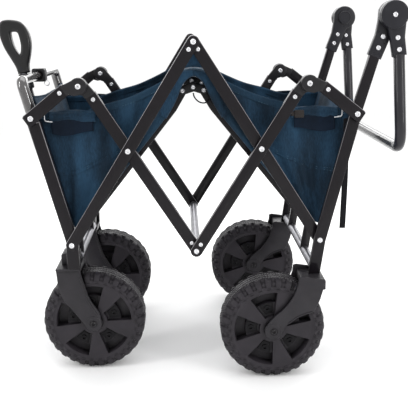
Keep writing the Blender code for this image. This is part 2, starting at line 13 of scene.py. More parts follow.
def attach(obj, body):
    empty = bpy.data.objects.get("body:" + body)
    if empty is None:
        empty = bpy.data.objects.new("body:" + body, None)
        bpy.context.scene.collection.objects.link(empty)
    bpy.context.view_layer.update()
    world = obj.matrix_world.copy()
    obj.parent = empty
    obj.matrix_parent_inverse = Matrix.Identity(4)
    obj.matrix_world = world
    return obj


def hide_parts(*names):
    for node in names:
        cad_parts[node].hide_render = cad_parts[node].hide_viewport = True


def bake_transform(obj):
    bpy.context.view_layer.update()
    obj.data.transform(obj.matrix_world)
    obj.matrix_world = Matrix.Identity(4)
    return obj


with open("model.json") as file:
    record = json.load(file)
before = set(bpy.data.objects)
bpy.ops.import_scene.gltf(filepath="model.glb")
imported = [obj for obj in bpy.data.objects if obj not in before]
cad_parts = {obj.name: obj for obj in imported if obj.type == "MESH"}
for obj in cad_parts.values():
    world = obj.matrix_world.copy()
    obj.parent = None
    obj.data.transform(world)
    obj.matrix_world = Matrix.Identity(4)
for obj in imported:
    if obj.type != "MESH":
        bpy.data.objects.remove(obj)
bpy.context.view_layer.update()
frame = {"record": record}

# ---------------------------------------------------------------- places, from the frame
PIVOT = {j["name"]: j["pos_m"] for j in frame["record"]["behaviour"]["joints"] if "pos_m" in j}


def xz(joint):
    return PIVOT[joint][0], PIVOT[joint][2]


FP1, RP1, TOP = xz("fold"), xz("rear_foot"), xz("apex")
FC, FE, RE = xz("front_cross"), xz("front_elbow"), xz("rear_elbow")
BOT = (0.0, 2 * FC[1] - TOP[1])
HUB = xz("push_swing")
SWIVEL = xz("swivel_near")
HANDLE_FOOT = xz("pull_swing")
POST_TOP = (0.3679, 0.6325)
FP2, RP2 = (-POST_TOP[0], POST_TOP[1]), POST_TOP
PEAK = (0.0, 0.6880)
RAIL = (-0.3880, 0.7150)
FRONT_AXLE = (xz("spin_front_near")[0], abs(PIVOT["spin_front_near"][1]))
REAR_AXLE = (xz("spin_rear_near")[0], abs(PIVOT["spin_rear_near"][1]))
WHEEL_Z = PIVOT["spin_rear_near"][2]

INNER, MID, OUTER = (0.2120, 0.2240), (0.2260, 0.2380), (0.2400, 0.2520)
BAR_R = 0.0140
TUBE_R = 0.0125
CROSS_R = 0.0110
TUB_Y = 0.1970
DECK = 0.0265
WHEEL_W = 0.078
HANDLE_LEAN = radians(12.2)
SIDES = (("near", -1), ("far", 1))
ENDS = (("front", -1), ("rear", 1))
RISE = atan2(TOP[1] - FP1[1], TOP[0] - FP1[0])
FLOOR_LEN = hypot(PEAK[0] - FP1[0], PEAK[1] - FP1[1])
FLOOR_ANGLE = atan2(PEAK[1] - FP1[1], PEAK[0] - FP1[0])
SPAN = hypot(TOP[0] - FP1[0], TOP[1] - FP1[1])

# ---------------------------------------------------------------- camera, light and stage
F_PX, IMAGE_W = 700.0, 408
cam = bpy.data.objects.new("camera", bpy.data.cameras.new("camera"))
bpy.context.scene.collection.objects.link(cam)
cam.data.sensor_width = 36.0
cam.data.lens = F_PX * cam.data.sensor_width / IMAGE_W
cam.location = (-0.0275, -1.8168, 0.8278)
cam.rotation_mode = "QUATERNION"
cam.rotation_quaternion = (Matrix.Rotation(radians(-1.692), 3, "Z")
                           @ Matrix.Rotation(radians(90 - 13.891), 3, "X")
                           @ Matrix.Rotation(radians(-0.780), 3, "Z")).to_quaternion()
bpy.context.scene.camera = cam


def area_light(name, where, aim, size, power):
    data = bpy.data.lights.new(name, "AREA")
    data.shape, data.size, data.size_y, data.energy = "RECTANGLE", size[0], size[1], power
    ob = bpy.data.objects.new(name, data)
    ob.location = where
    ob.rotation_mode = "QUATERNION"
    ob.rotation_quaternion = (Vector(aim) - Vector(where)).to_track_quat("-Z", "Y")
    bpy.context.scene.collection.objects.link(ob)


area_light("overhead", (0.0, 0.1, 2.6), (0, 0, 0.3), (2.4, 1.6), 24)
area_light("back_panel", (0.0, 2.5, 1.85), (0, 0, 0.7), (5.0, 1.5), 62)
area_light("left_strip", (-2.3, -1.1, 1.6), (0, 0, 0.5), (0.30, 1.8), 20)
area_light("right_strip", (2.1, -1.9, 1.3), (0, 0, 0.45), (0.25, 1.8), 22)

world = bpy.data.worlds.new("studio")
bpy.context.scene.world = world
world.use_nodes = True
world.node_tree.nodes["Background"].inputs["Color"].default_value = (1.0, 1.0, 1.0, 1)
world.node_tree.nodes["Background"].inputs["Strength"].default_value = 1.0
bpy.context.scene.view_settings.view_transform = "Standard"


# ---------------------------------------------------------------- materials
MATS = {}


def shader(name, slot, colour, rough, metal=0.0, **sockets):
    m = bpy.data.materials.new(name)
    m.use_nodes = True
    t = m.node_tree
    b = t.nodes["Principled BSDF"]
    b.inputs["Base Color"].default_value = (*colour, 1)
    b.inputs["Roughness"].default_value = rough
    b.inputs["Metallic"].default_value = metal
    for key, value in sockets.items():
        b.inputs[key.replace("_", " ")].default_value = value
    MATS[name] = (m, slot)
    return t, b


def node(t, kind, **values):
    n = t.nodes.new("ShaderNode" + kind)
    for key, value in values.items():
        if key in n.inputs:
            n.inputs[key].default_value = value
        else:
            setattr(n, key, value)
    return n


def speckle(t, scale, detail=3.0, stretch=(1, 1, 1), source="Object"):
    """Noise in the piece's own metres."""
    co = node(t, "TexCoord")
    mp = node(t, "Mapping")
    mp.inputs["Scale"].default_value = stretch
    t.links.new(co.outputs[source], mp.inputs["Vector"])
    n = node(t, "TexNoise", Scale=scale, Detail=detail)
    t.links.new(mp.outputs["Vector"], n.inputs["Vector"])
    return n.outputs["Fac"]


def ramp(t, fac, stops):
    r = node(t, "ValToRGB")
    e = r.color_ramp.elements
    while len(e) < len(stops):
        e.new(0.5)
    for el, (pos, colour) in zip(e, stops):
        el.position = pos
        el.color = (*colour, 1) if len(colour) == 3 else colour
    t.links.new(fac, r.inputs["Fac"])
    return r.outputs["Color"]


def spread(t, fac, low, high):
    r = node(t, "MapRange")
    r.inputs["From Min"].default_value, r.inputs["From Max"].default_value = 0.3, 0.7
    r.inputs["To Min"].default_value, r.inputs["To Max"].default_value = low, high
    t.links.new(fac, r.inputs["Value"])
    return r.outputs["Result"]


def bump(t, b, height, strength, distance, under=None):
    n = node(t, "Bump", Strength=strength, Distance=distance)
    t.links.new(height, n.inputs["Height"])
    if under is not None:
        t.links.new(under, n.inputs["Normal"])
    t.links.new(n.outputs["Normal"], b.inputs["Normal"])
    return n.outputs["Normal"]


def tint(colour, k):
    return tuple(c * k for c in colour)


def paint(name, slot, colour, rough, metal=0.0, peel=0.00004, edge_highlight=None, **sockets):
    """Sprayed paint or powder coat: soft blotches and a faint orange peel; given a highlight colour, the
    upper rounded edges get it as a painted highlight.
    """
    t, b = shader(name, slot, colour, rough, metal, **sockets)
    blot = speckle(t, 38, 4)
    tone = ramp(t, blot, [(0.30, tint(colour, 0.86)), (0.72, tint(colour, 1.2))])
    if edge_highlight:
        # painted highlight: the bar's rounded upper edges, turned up and to the side, are mixed to a light
        # grey where the lamps would reflect
        xyz = node(t, "SeparateXYZ")
        t.links.new(node(t, "NewGeometry").outputs["Normal"], xyz.inputs["Vector"])
        side = node(t, "Math", operation="ABSOLUTE")
        t.links.new(xyz.outputs["Y"], side.inputs[0])
        edge = ramp(t, side.outputs["Value"], [(0.35, (0, 0, 0)), (0.55, (1, 1, 1)),
                                               (0.84, (1, 1, 1)), (0.96, (0, 0, 0))])
        above = ramp(t, xyz.outputs["Z"], [(0.12, (0, 0, 0)), (0.30, (1, 1, 1))])
        both = node(t, "Math", operation="MULTIPLY")
        t.links.new(edge, both.inputs[0])
        t.links.new(above, both.inputs[1])
        highlight_mix = node(t, "MixRGB")
        t.links.new(both.outputs["Value"], highlight_mix.inputs["Fac"])
        t.links.new(tone, highlight_mix.inputs["Color1"])
        highlight_mix.inputs["Color2"].default_value = (*edge_highlight, 1)
        tone = highlight_mix.outputs["Color"]
    t.links.new(tone, b.inputs["Base Color"])
    t.links.new(spread(t, speckle(t, 120, 4), rough - 0.03, rough + 0.05), b.inputs["Roughness"])
    bump(t, b, speckle(t, 900, 2), 0.30, peel)


def moulding(name, slot, colour, rough, grain=700, depth=0.00012, gloss=0.25, reach=0.025):
    """Moulded plastic: fine spark-eroded grain, rubbed high spots, and painted shade darkening its
    recesses.
    """
    t, b = shader(name, slot, colour, rough, Specular_IOR_Level=gloss)
    tone = ramp(t, speckle(t, 26, 5), [(0.3, tint(colour, 0.85)), (0.75, tint(colour, 1.3))])
    # painted shade: ambient occlusion darkens the colour in recesses and between parts
    recess_shade = node(t, "AmbientOcclusion", Distance=reach)
    recess_shade.samples = 8
    shade = node(t, "MixRGB", blend_type="MULTIPLY")
    shade.inputs["Fac"].default_value = 0.9
    t.links.new(tone, shade.inputs["Color1"])
    t.links.new(ramp(t, recess_shade.outputs["AO"], [(0.25, (0.10, 0.10, 0.10)), (0.85, (1.0, 1.0, 1.0))]),
                shade.inputs["Color2"])
    t.links.new(shade.outputs["Color"], b.inputs["Base Color"])
    t.links.new(spread(t, speckle(t, 60, 4), rough - 0.08, rough + 0.08), b.inputs["Roughness"])
    bump(t, b, speckle(t, grain, 3), 0.5, depth)


def woven(name, slot, colour, pitch, rough=0.85, shade=(0.72, 1.3), sheen=0.04):
    """Plain weave in the UV map's metres, with slubs and painted light and shade of folds; shade gives its
    darkest and lightest factors.
    """
    t, b = shader(name, slot, colour, rough, 0.0, Sheen_Weight=sheen, Sheen_Roughness=0.45,
                  Specular_IOR_Level=0.18)
    uv = node(t, "UVMap", uv_map="weave")
    height = None
    for axis in ("X", "Y"):
        w = node(t, "TexWave", wave_type="BANDS", bands_direction=axis, Scale=0.314 / pitch,
                 Distortion=0.6, Detail=1.0)
        t.links.new(uv.outputs["UV"], w.inputs["Vector"])
        if height is None:
            height = w.outputs["Fac"]
        else:
            m = node(t, "Math", operation="MAXIMUM")
            t.links.new(height, m.inputs[0])
            t.links.new(w.outputs["Fac"], m.inputs[1])
            height = m.outputs["Value"]
    # painted light and shade: broad noise darkens and lightens the colour like folds turned to and from the
    # light
    fold_shade = speckle(t, 11, 3, (1.5, 1, 0.5))
    slub = speckle(t, 420, 2, (1, 1, 0.25))
    mix = node(t, "Math", operation="MULTIPLY_ADD")
    mix.inputs[1].default_value = 0.35
    t.links.new(slub, mix.inputs[0])
    t.links.new(fold_shade, mix.inputs[2])
    t.links.new(ramp(t, mix.outputs["Value"], [(0.54, tint(colour, shade[0])), (0.68, colour),
                                               (0.84, tint(colour, shade[1]))]),
                b.inputs["Base Color"])
    under = bump(t, b, height, 0.35, 0.00025)
    bump(t, b, speckle(t, 60, 4), 0.25, 0.0012, under)


LACQUER = dict(Coat_Weight=1.0, Coat_IOR=1.22, Coat_Roughness=0.07)
# the bars' upper edges carry a painted highlight in light grey
paint("bar_paint_v", "bar_paint", (0.0052, 0.0040, 0.0056), 0.40, Specular_IOR_Level=0.10,
      edge_highlight=(0.26, 0.25, 0.26), **LACQUER)
paint("post_paint_v", "frame_paint", (0.0100, 0.0088, 0.0104), 0.36, Specular_IOR_Level=0.15, **LACQUER)
paint("chrome_paint_v", "frame_paint", (0.0110, 0.0085, 0.0085), 0.20, Coat_Weight=1.0, Coat_IOR=1.9,
      Coat_Roughness=0.05)
paint("handle_paint_v", "frame_paint", (0.0120, 0.0112, 0.0150), 0.34, Specular_IOR_Level=0.25, **LACQUER)
paint("bright_v", "bright_tube", (0.26, 0.26, 0.28), 0.34, 0.85, 0.00003)
# a light metal for the front rail, lighter than the rest of the same frame tube: painted highlight from the
# light on its top
paint("rail_highlight_v", "frame_paint", (0.50, 0.48, 0.45), 0.30, 0.70, 0.00003)
paint("rivet_v", "bright_tube", (0.70, 0.70, 0.72), 0.26, 0.80, 0.00004)
paint("wire_v", "bright_tube", (0.55, 0.56, 0.58), 0.28, 0.9, 0.00002)
moulding("knuckle_v", "moulded", (0.0105, 0.0100, 0.0115), 0.36)
moulding("hub_v", "moulded", (0.0085, 0.0085, 0.0120), 0.34, gloss=0.3)
moulding("grip_v", "moulded", (0.0030, 0.0030, 0.0034), 0.34, 420, 0.0004, 0.4)
moulding("buckle_v", "moulded", (0.012, 0.009, 0.008), 0.38)
moulding("wheel_v", "wheel_body", (0.0220, 0.0195, 0.0235), 0.44, 520, 0.0002, 0.20)
# a darker copy of the wheel plastic for the plates deep in the windows: painted shade
moulding("wheel_recess_shade_v", "wheel_body", (0.0055, 0.0050, 0.0062), 0.46, 520, 0.0002, 0.15)
moulding("fork_v", "moulded", (0.0210, 0.0195, 0.0225), 0.38, gloss=0.20, reach=0.012)
woven("navy_v", "navy_cloth", (0.0085, 0.0265, 0.0500), 0.0011, shade=(0.50, 1.7))
# a near-black copy of the navy cloth, used as painted shadow under the rim flaps
woven("navy_shadow_v", "navy_cloth", (0.0022, 0.0070, 0.0165), 0.0011, sheen=0.0)
woven("floor_v", "navy_cloth", (0.0075, 0.0240, 0.0440), 0.0011, shade=(0.6, 1.5))
woven("hem_v", "navy_cloth", (0.0110, 0.0320, 0.0580), 0.0009)
woven("web_v", "dark_web", (0.006, 0.006, 0.008), 0.0018, 0.8, sheen=0.0)
woven("stitch_v", "navy_cloth", (0.0360, 0.0800, 0.1200), 0.0008)


def mesh_cloth():
    """Open net over a dark pocket: pale threads around dark holes."""
    t, b = shader("net_v", "navy_cloth", (0.03, 0.06, 0.10), 0.7)
    uv = node(t, "UVMap", uv_map="weave")
    v = node(t, "TexVoronoi", feature="DISTANCE_TO_EDGE", Scale=260, Randomness=0.15)
    t.links.new(uv.outputs["UV"], v.inputs["Vector"])
    t.links.new(ramp(t, v.outputs["Distance"], [(0.16, (0.16, 0.24, 0.33)), (0.30, (0.012, 0.02, 0.035))]),
                b.inputs["Base Color"])
    bump(t, b, v.outputs["Distance"], 0.8, -0.0006)


mesh_cloth()


def stage_floor():
    t, b = shader("stage_v", None, (0.95, 0.95, 0.95), 0.9)
    t.links.new(ramp(t, speckle(t, 1.5, 2), [(0.3, (0.945, 0.945, 0.945)), (0.7, (0.96, 0.96, 0.96))]),
                b.inputs["Base Color"])
    bm = bmesh.new()
    rows = []
    depth = [(-8.0, 0.0), (4.0, 0.0)]
    depth += [(4.0 + 2.0 * sin(radians(a)), 2.0 - 2.0 * cos(radians(a))) for a in range(10, 91, 10)]
    depth.append((6.0, 8.0))
    for y, z in depth:
        rows.append([bm.verts.new((x, y, z)) for x in (-12.0, 12.0)])
    for a, c in zip(rows, rows[1:]):
        bm.faces.new((a[0], a[1], c[1], c[0]))
    me = bpy.data.meshes.new("stage_floor")
    bm.to_mesh(me)
    bm.free()
    me.shade_smooth()
    me.materials.append(MATS["stage_v"][0])
    ob = bpy.data.objects.new("stage_floor", me)
    bpy.context.scene.collection.objects.link(ob)


stage_floor()


# ---------------------------------------------------------------- mesh tools
def arc(cx, cz, r, a0, a1, n):
    return [(cx + r * cos(radians(a0 + (a1 - a0) * i / n)),
             cz + r * sin(radians(a0 + (a1 - a0) * i / n))) for i in range(n + 1)]


def circle(cx, cz, r, n=28):
    return [(cx + r * cos(2 * pi * i / n), cz + r * sin(2 * pi * i / n)) for i in range(n)]


def local(origin, angle):
    """Points along and across a line that leaves origin at angle (radians, in the XZ plane)."""
    c, s = cos(angle), sin(angle)
    return lambda p: (origin[0] + p[0] * c - p[1] * s, origin[1] + p[0] * s + p[1] * c)


def flip(pts):
    return [(-x, z) for x, z in pts]


def skin(bm, a, b):
    for i in range(len(a)):
        j = (i + 1) % len(a)
        bm.faces.new((a[i], a[j], b[j], b[i]))


def inset(loop, d):
    """The loop moved inwards by d, or outwards when d is negative."""
    n = len(loop)
    area = sum(loop[i - 1][0] * loop[i][1] - loop[i][0] * loop[i - 1][1] for i in range(n))
    turn = 1 if area > 0 else -1
    out = []
    for i in range(n):
        a, b, c = loop[i - 1], loop[i], loop[(i + 1) % n]
        u = Vector((b[0] - a[0], b[1] - a[1])).normalized()
        v = Vector((c[0] - b[0], c[1] - b[1])).normalized()
        k = turn * d / max(0.4, 1 + u.dot(v))
        out.append((b[0] - (u.y + v.y) * k, b[1] + (u.x + v.x) * k))
    return out


def soften(points, r, n=4):
    """A closed outline with each corner rounded by about r."""
    out = []
    m = len(points)
    for i in range(m):
        a, b, c = (Vector(points[k % m]) for k in (i - 1, i, i + 1))
        s = b + (a - b).normalized() * min(r, (a - b).length * 0.45)
        e = b + (c - b).normalized() * min(r, (c - b).length * 0.45)
        for k in range(n + 1):
            t = k / n
            p = s * (1 - t) ** 2 + b * 2 * t * (1 - t) + e * t ** 2
            out.append((p.x, p.y))
    return out


def slab(bm, outline, y0, y1, edge=0.0018, holes=(), steps=3):
    """A plate with rounded edges between y0 and y1, and holes through it."""
    y0, y1 = sorted((y0, y1))
    quarter = [(edge * (1 - sin(pi / 2 * k / steps)), edge * (1 - cos(pi / 2 * k / steps)))
               for k in range(steps + 1)]
    rows = [(d, y0 + y) for d, y in quarter] + [(d, y1 - y) for d, y in quarter[::-1]]
    loops = []
    for pts, sign in [(outline, 1)] + [(h, -1) for h in holes]:
        rings = [[bm.verts.new((x, y, z)) for x, z in inset(pts, sign * d)] for d, y in rows]
        for a, b in zip(rings, rings[1:]):
            skin(bm, a, b)
        loops.append(rings)
    for end in (0, -1):
        if not holes:
            bm.faces.new(loops[0][end])
            continue
        edges = []
        for rings in loops:
            vs = rings[end]
            edges += [bm.edges.get((vs[i - 1], vs[i])) for i in range(len(vs))]
        bmesh.ops.triangle_fill(bm, use_beauty=True, edges=edges)
    return bm


def rounded(points, r, n=8):
    """A path with its inner corners rounded."""
    pts = [Vector(p) for p in points]
    out = [pts[0]]
    for a, b, c in zip(pts, pts[1:], pts[2:]):
        d = min(r, (a - b).length * 0.48, (c - b).length * 0.48)
        s, e = b + (a - b).normalized() * d, b + (c - b).normalized() * d
        out += [s * (1 - i / n) ** 2 + b * 2 * (i / n) * (1 - i / n) + e * (i / n) ** 2
                for i in range(n + 1)]
    out.append(pts[-1])
    return out


def smooth_path(points, n=6):
    """A Catmull-Rom curve through the points."""
    p = [Vector(q) for q in points]
    p = [p[0] * 2 - p[1]] + p + [p[-1] * 2 - p[-2]]
    out = []
    for a, b, c, d in zip(p, p[1:], p[2:], p[3:]):
        for i in range(n):
            t = i / n
            out.append(0.5 * ((2 * b) + (c - a) * t + (2 * a - 5 * b + 4 * c - d) * t * t
                              + (3 * b - a - 3 * c + d) * t ** 3))
    out.append(p[-2])
    return out


def sweep(bm, path, r, flat=1.0, n=20, up=(0, 1, 0), rim=0.0012, power=1.0, slim=None):
    """A tube along a path with softened ends. flat scales it along up; power below 1 squares it."""
    path = [Vector(p) for p in path]
    up = Vector(up)
    rows = []

    def circle_at(p, t, k):
        k *= slim(p) if slim else 1
        side = t.cross(up).normalized()
        top = side.cross(t).normalized()
        row = []
        for i in range(n):
            c, s = cos(2 * pi * i / n), sin(2 * pi * i / n)
            c = abs(c) ** power * (1 if c > 0 else -1)
            s = abs(s) ** power * (1 if s > 0 else -1)
            row.append(bm.verts.new(p + side * r * k * c + top * r * k * flat * s))
        rows.append(row)

    for i, p in enumerate(path):
        t = (path[min(i + 1, len(path) - 1)] - path[max(i - 1, 0)]).normalized()
        if i == 0:
            circle_at(p, t, 1 - rim / r)
            circle_at(p + t * rim, t, 1)
        elif i == len(path) - 1:
            circle_at(p - t * rim, t, 1)
            circle_at(p, t, 1 - rim / r)
        else:
            circle_at(p, t, 1)
    for a, b in zip(rows, rows[1:]):
        skin(bm, a, b)
    bm.faces.new(rows[0])
    bm.faces.new(rows[-1])
    return bm


def turned(bm, profile, centre, axis, n=28):
    """Turn (radius, height) pairs about an axis through centre. A radius of 0 closes an end."""
    rot = Vector(axis).to_track_quat("Z", "Y").to_matrix()
    centre = Vector(centre)
    rows = []
    for r, h in profile:
        turns = [0.0] if r < 1e-6 else [2 * pi * i / n for i in range(n)]
        rows.append([bm.verts.new(centre + rot @ Vector((r * cos(a), r * sin(a), h))) for a in turns])
    for a, b in zip(rows, rows[1:]):
        if len(a) == 1 or len(b) == 1:
            tip, rim = (a[0], b) if len(a) == 1 else (b[0], a)
            for i in range(len(rim)):
                bm.faces.new((tip, rim[i], rim[(i + 1) % len(rim)]))
        else:
            skin(bm, a, b)
    return bm


def rivet(bm, x, z, y, s, r=0.0066, h=0.0030):
    """A tubular rivet's rolled head with the dimple in its middle."""
    profile = [(0, -0.0005), (r * 0.9, -0.0005), (r, 0.0004), (r * 0.97, h * 0.45),
               (r * 0.78, h * 0.85), (r * 0.62, h), (r * 0.46, h * 0.92), (r * 0.36, h * 0.25),
               (0, h * 0.15)]
    turned(bm, profile, (x, y, z), (0, s, 0), 20)


def block(bm, x0, x1, y0, y1, z0, z1, edge=0.003, corner=0.004):
    """A block with rounded edges."""
    return slab(bm, soften([(x0, z0), (x1, z0), (x1, z1), (x0, z1)], corner), y0, y1, edge)


def make(name, bm, mat, body=None, stands_for=(), sharp=38, weld=True):
    """The mesh as a piece that rides on a body and stands for CAD nodes."""
    if weld:
        bmesh.ops.remove_doubles(bm, verts=bm.verts, dist=1e-6)
        bmesh.ops.recalc_face_normals(bm, faces=bm.faces)
    me = bpy.data.meshes.new(name)
    bm.to_mesh(me)
    bm.free()
    material, slot = MATS[mat]
    me.materials.append(material)
    me.shade_smooth()
    me.set_sharp_from_angle(angle=radians(sharp))
    ob = bpy.data.objects.new(name, me)
    bpy.context.scene.collection.objects.link(ob)
    if body:
        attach(ob, body)
    if stands_for:
        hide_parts(*stands_for)
    return ob


# ---------------------------------------------------------------- scissor bars
def bar_outline(place, length, end0=BAR_R, end1=BAR_R):
    """A bar from 0 to length along place, with round ends about its pivots."""
    pts = arc(0, 0, end0, 90, 270, 12) + arc(length, 0, end1, -90, 90, 12)
    return [place(p) for p in pts]


def studs(name, points, y, s, body, small=()):
    bm = bmesh.new()
    for x, z in points:
        rivet(bm, x, z, y, s)
    for x, z in small:
        rivet(bm, x, z, y, s, 0.0052, 0.0024)
    return make(name, bm, "rivet_v", body)


def lay(layer, s):
    """The two faces of a bar layer on side s."""
    return s * layer[0], s * layer[1]


ELBOW_ON_BAR = 0.1815
CUT_BACK = 0.0290
for tag, s in SIDES:
    for end, m in ENDS:
        def at(pts):
            return pts if m < 0 else flip(pts)

        rise_layer, drop_layer = (MID, INNER) if m < 0 else (INNER, MID)
        link_layer = MID if m < 0 else OUTER
        node_of = "_%s_%s" % (end, tag)
        # rising bar, foot to apex
        up = local(FP1, RISE)
        bm = bmesh.new()
        slab(bm, at(bar_outline(up, SPAN)), *lay(rise_layer, s))
        make("rising_bar" + node_of, bm, "bar_paint_v", end + "_rising",
             ["bar_%s_rising_%s" % (end, tag)])
        small = at([up((SPAN - 0.0195, 0))])
        main = at([FP1, FC, TOP]) if m < 0 else []
        outer_face = s * (rise_layer[1] - 0.0002)
        studs("rising_rivets" + node_of, main, outer_face, s, end + "_rising", small)
        # dropping bar, bottom to elbow; the tube ends short of the knuckle
        down = local(FC, pi - RISE)
        lower = hypot(FC[0] - BOT[0], FC[1] - BOT[1])
        pts = [down(p) for p in arc(-lower, 0, BAR_R, 90, 270, 12)]
        end_x = ELBOW_ON_BAR - CUT_BACK
        pts += [down((end_x, -BAR_R)), down((end_x, BAR_R))]
        bm = bmesh.new()
        slab(bm, at(pts), *lay(drop_layer, s))
        body = end + "_dropping"
        make("dropping_bar" + node_of, bm, "bar_paint_v", body, ["bar_%s_dropping_%s" % (end, tag)])
        small = at([down((-lower + 0.0195, 0)), down((end_x - 0.0130, 0))])
        main = at([FC, BOT]) if m > 0 else []
        outer_face = s * (drop_layer[1] - 0.0002)
        studs("dropping_rivets" + node_of, main, outer_face, s, body, small)
        # knuckle on the dropping bar: a round boss and a neck into the tube
        knuckle = arc(ELBOW_ON_BAR, 0.0095, 0.0185, -100, 128, 18)
        knuckle += [(end_x + 0.006, 0.0150), (end_x + 0.001, 0.0150), (end_x - 0.004, 0.0118),
                    (end_x - 0.004, -0.0118), (end_x + 0.001, -0.0118)]
        bm = bmesh.new()
        slab(bm, at([down((a, b)) for a, b in knuckle]), s * (drop_layer[0] - 0.0004),
             s * (drop_layer[1] + 0.0004), 0.0022)
        make("knuckle_bar" + node_of, bm, "knuckle_v", body)
        studs("elbow_backs" + node_of, at([FE]), s * (drop_layer[0] - 0.0002), -s, body,
              at([down((end_x - 0.0130, 0))]))
        # link from the elbow to the upper corner
        reach = hypot(POST_TOP[0] - RE[0], POST_TOP[1] - RE[1])
        run = local(RE, atan2(POST_TOP[1] - RE[1], POST_TOP[0] - RE[0]))
        tube = [(0.0290, 0.0245), (0.0290, -0.0035), (reach + 0.0030, -0.0150), (reach + 0.0125, -0.0150),
                (reach + 0.0145, -0.0120), (reach + 0.0145, 0.0110), (reach + 0.0105, 0.0140)]
        bm = bmesh.new()
        link = [run(p) for p in tube]
        slab(bm, link if m > 0 else flip(link), *lay(link_layer, s))
        body = end + "_links"
        make("link" + node_of, bm, "bar_paint_v", body, ["link_%s_%s" % (end, tag)])
        neck = arc(0, 0, 0.0192, 75, 290, 18)
        neck += [(0.0200, -0.0125), (0.0280, -0.0030), (0.0340, -0.0020), (0.0340, 0.0215),
                 (0.0285, 0.0220), (0.0200, 0.0205)]
        bm = bmesh.new()
        link = [run(p) for p in neck]
        slab(bm, link if m > 0 else flip(link), s * (link_layer[0] - 0.0004),
             s * (link_layer[1] + 0.0004), 0.0022)
        make("knuckle_link" + node_of, bm, "knuckle_v", body)
        heads = [run((0, 0)), run((reach, 0))]
        near_boss = [run((0.0425, 0.0105))]
        if m < 0:
            heads, near_boss = flip(heads), flip(near_boss)
        studs("link_rivets" + node_of, heads, s * (link_layer[1] - 0.0002), s, body, near_boss)

bm = bmesh.new()
sweep(bm, [(0, -INNER[0] + 0.0003, BOT[1]), (0, INNER[0] - 0.0003, BOT[1])], 0.0105, up=(0, 0, 1))
make("apex_tube", bm, "bright_v", "front_dropping", ["apex_cross_tube"])


# ---------------------------------------------------------------- front end
def band(points, half):
    left, right = [], []
    for i, p in enumerate(points):
        a, b = points[max(i - 1, 0)], points[min(i + 1, len(points) - 1)]
        d = Vector((b[0] - a[0], b[1] - a[1])).normalized()
        left.append((p[0] - d.y * half, p[1] + d.x * half))
        right.append((p[0] + d.y * half, p[1] - d.x * half))
    return left + right[::-1]


def front_frame():
    ty = INNER[1] - TUBE_R
    half = [(FP1[0] - 0.002, -ty, 0.3016), (FP1[0], -ty, FP1[1]), (FP2[0], -ty, FP2[1]),
            (RAIL[0], -ty, RAIL[1])]
    path = half + [(x, -y, z) for x, y, z in half[::-1]]
    def slim(p):
        return 0.70 + 0.30 * min(1.0, max(0.0, (abs(p.y) - 0.188) / 0.008))

    bm = bmesh.new()
    sweep(bm, rounded(path, 0.020, 10), TUBE_R, n=28, up=(1, 0, 0), rim=0.002, slim=slim)
    make("front_tube", bm, "chrome_paint_v", "front_end", ["front_frame"], 60)
    # the rail sleeve is painted light as a highlight on the top of the frame tube
    bm = bmesh.new()
    sweep(bm, [(RAIL[0], -0.196, RAIL[1]), (RAIL[0], 0.196, RAIL[1])], TUBE_R * 0.70 + 0.0004, n=28,
          up=(1, 0, 0))
    make("front_rail", bm, "rail_highlight_v", "front_end", sharp=60)
    for tag, s in SIDES:
        # the post is flattened and painted below the upper corner, and stands straight below the pivot
        bm = bmesh.new()
        d = Vector((FP2[0] - FP1[0], FP2[1] - FP1[1])).normalized()
        top = Vector(FP2) - d * 0.012
        foot = [(-0.2945, 0.2670), (-0.2945, 0.3150), (FP1[0] - 0.001, FP1[1] + 0.006), (top.x, top.y)]
        slab(bm, band(foot, 0.0148), s * (INNER[0] - 0.0132), s * (INNER[1] + 0.0006), 0.0035)
        make("front_post_sleeve_" + tag, bm, "bar_paint_v", "front_end")


front_frame()


def cross_tube(name, centre, reach, feet, side, body):
    """A round cross tube with a pair of lugs for the floor bars."""
    bm = bmesh.new()
    x, z = centre
    sweep(bm, [(x, -reach, z), (x, reach, z)], CROSS_R, n=24, up=(0, 0, 1))
    make(name + "_pipe", bm, "bright_v", body, [name])
    bm = bmesh.new()
    studs_bm = bmesh.new()
    for s in (-1, 1):
        mid = s * 0.105
        lug = [(x - 0.011, z + 0.004), (x + 0.011, z + 0.004)] + arc(*feet, 0.011, 0, 180, 10)
        slab(bm, lug, mid + side * 0.0145, mid + side * 0.0225, 0.0015)
        turned(studs_bm, [(0, 0), (0.0075, 0), (0.0075, 0.0018), (0.005, 0.0026), (0, 0.0026)],
               (feet[0], mid, feet[1]), (0, -side, 0), 18)
    make(name + "_lugs", bm, "post_paint_v", body)
    make(name + "_studs", studs_bm, "rivet_v", body)


cross_tube("front_cross_tube", (-0.293, 0.275), 0.1397, FP1, -1, "front_end")
cross_tube("rear_cross_tube", (0.283, 0.262), 0.2255, RP1, 1, "rear_end")

for tag, s in SIDES:
    bm = bmesh.new()
    block(bm, -0.3380, -0.2800, s * 0.140, s * 0.2235, 0.2642, 0.2700, 0.0016, 0.002)
    block(bm, -0.3280, -0.2860, s * 0.1420, s * 0.1930, 0.2680, 0.2985, 0.003, 0.006)
    make("socket_block_" + tag, bm, "fork_v", "front_end", ["caster_socket_" + tag])

# ---------------------------------------------------------------- rear posts
for tag, s in SIDES:
    bm = bmesh.new()
    left = band([(0.2806, 0.2476), RP1, RP2], BAR_R)
    slab(bm, left, *lay(MID, s))
    slab(bm, band([RP2, (0.4055, 0.7630)], 0.0122), *lay(MID, s))
    make("rear_post_tube_" + tag, bm, "bar_paint_v", "rear_end", ["rear_post_" + tag])
    studs("rear_post_rivets_" + tag, [RP1], s * (MID[1] - 0.0002), s, "rear_end")


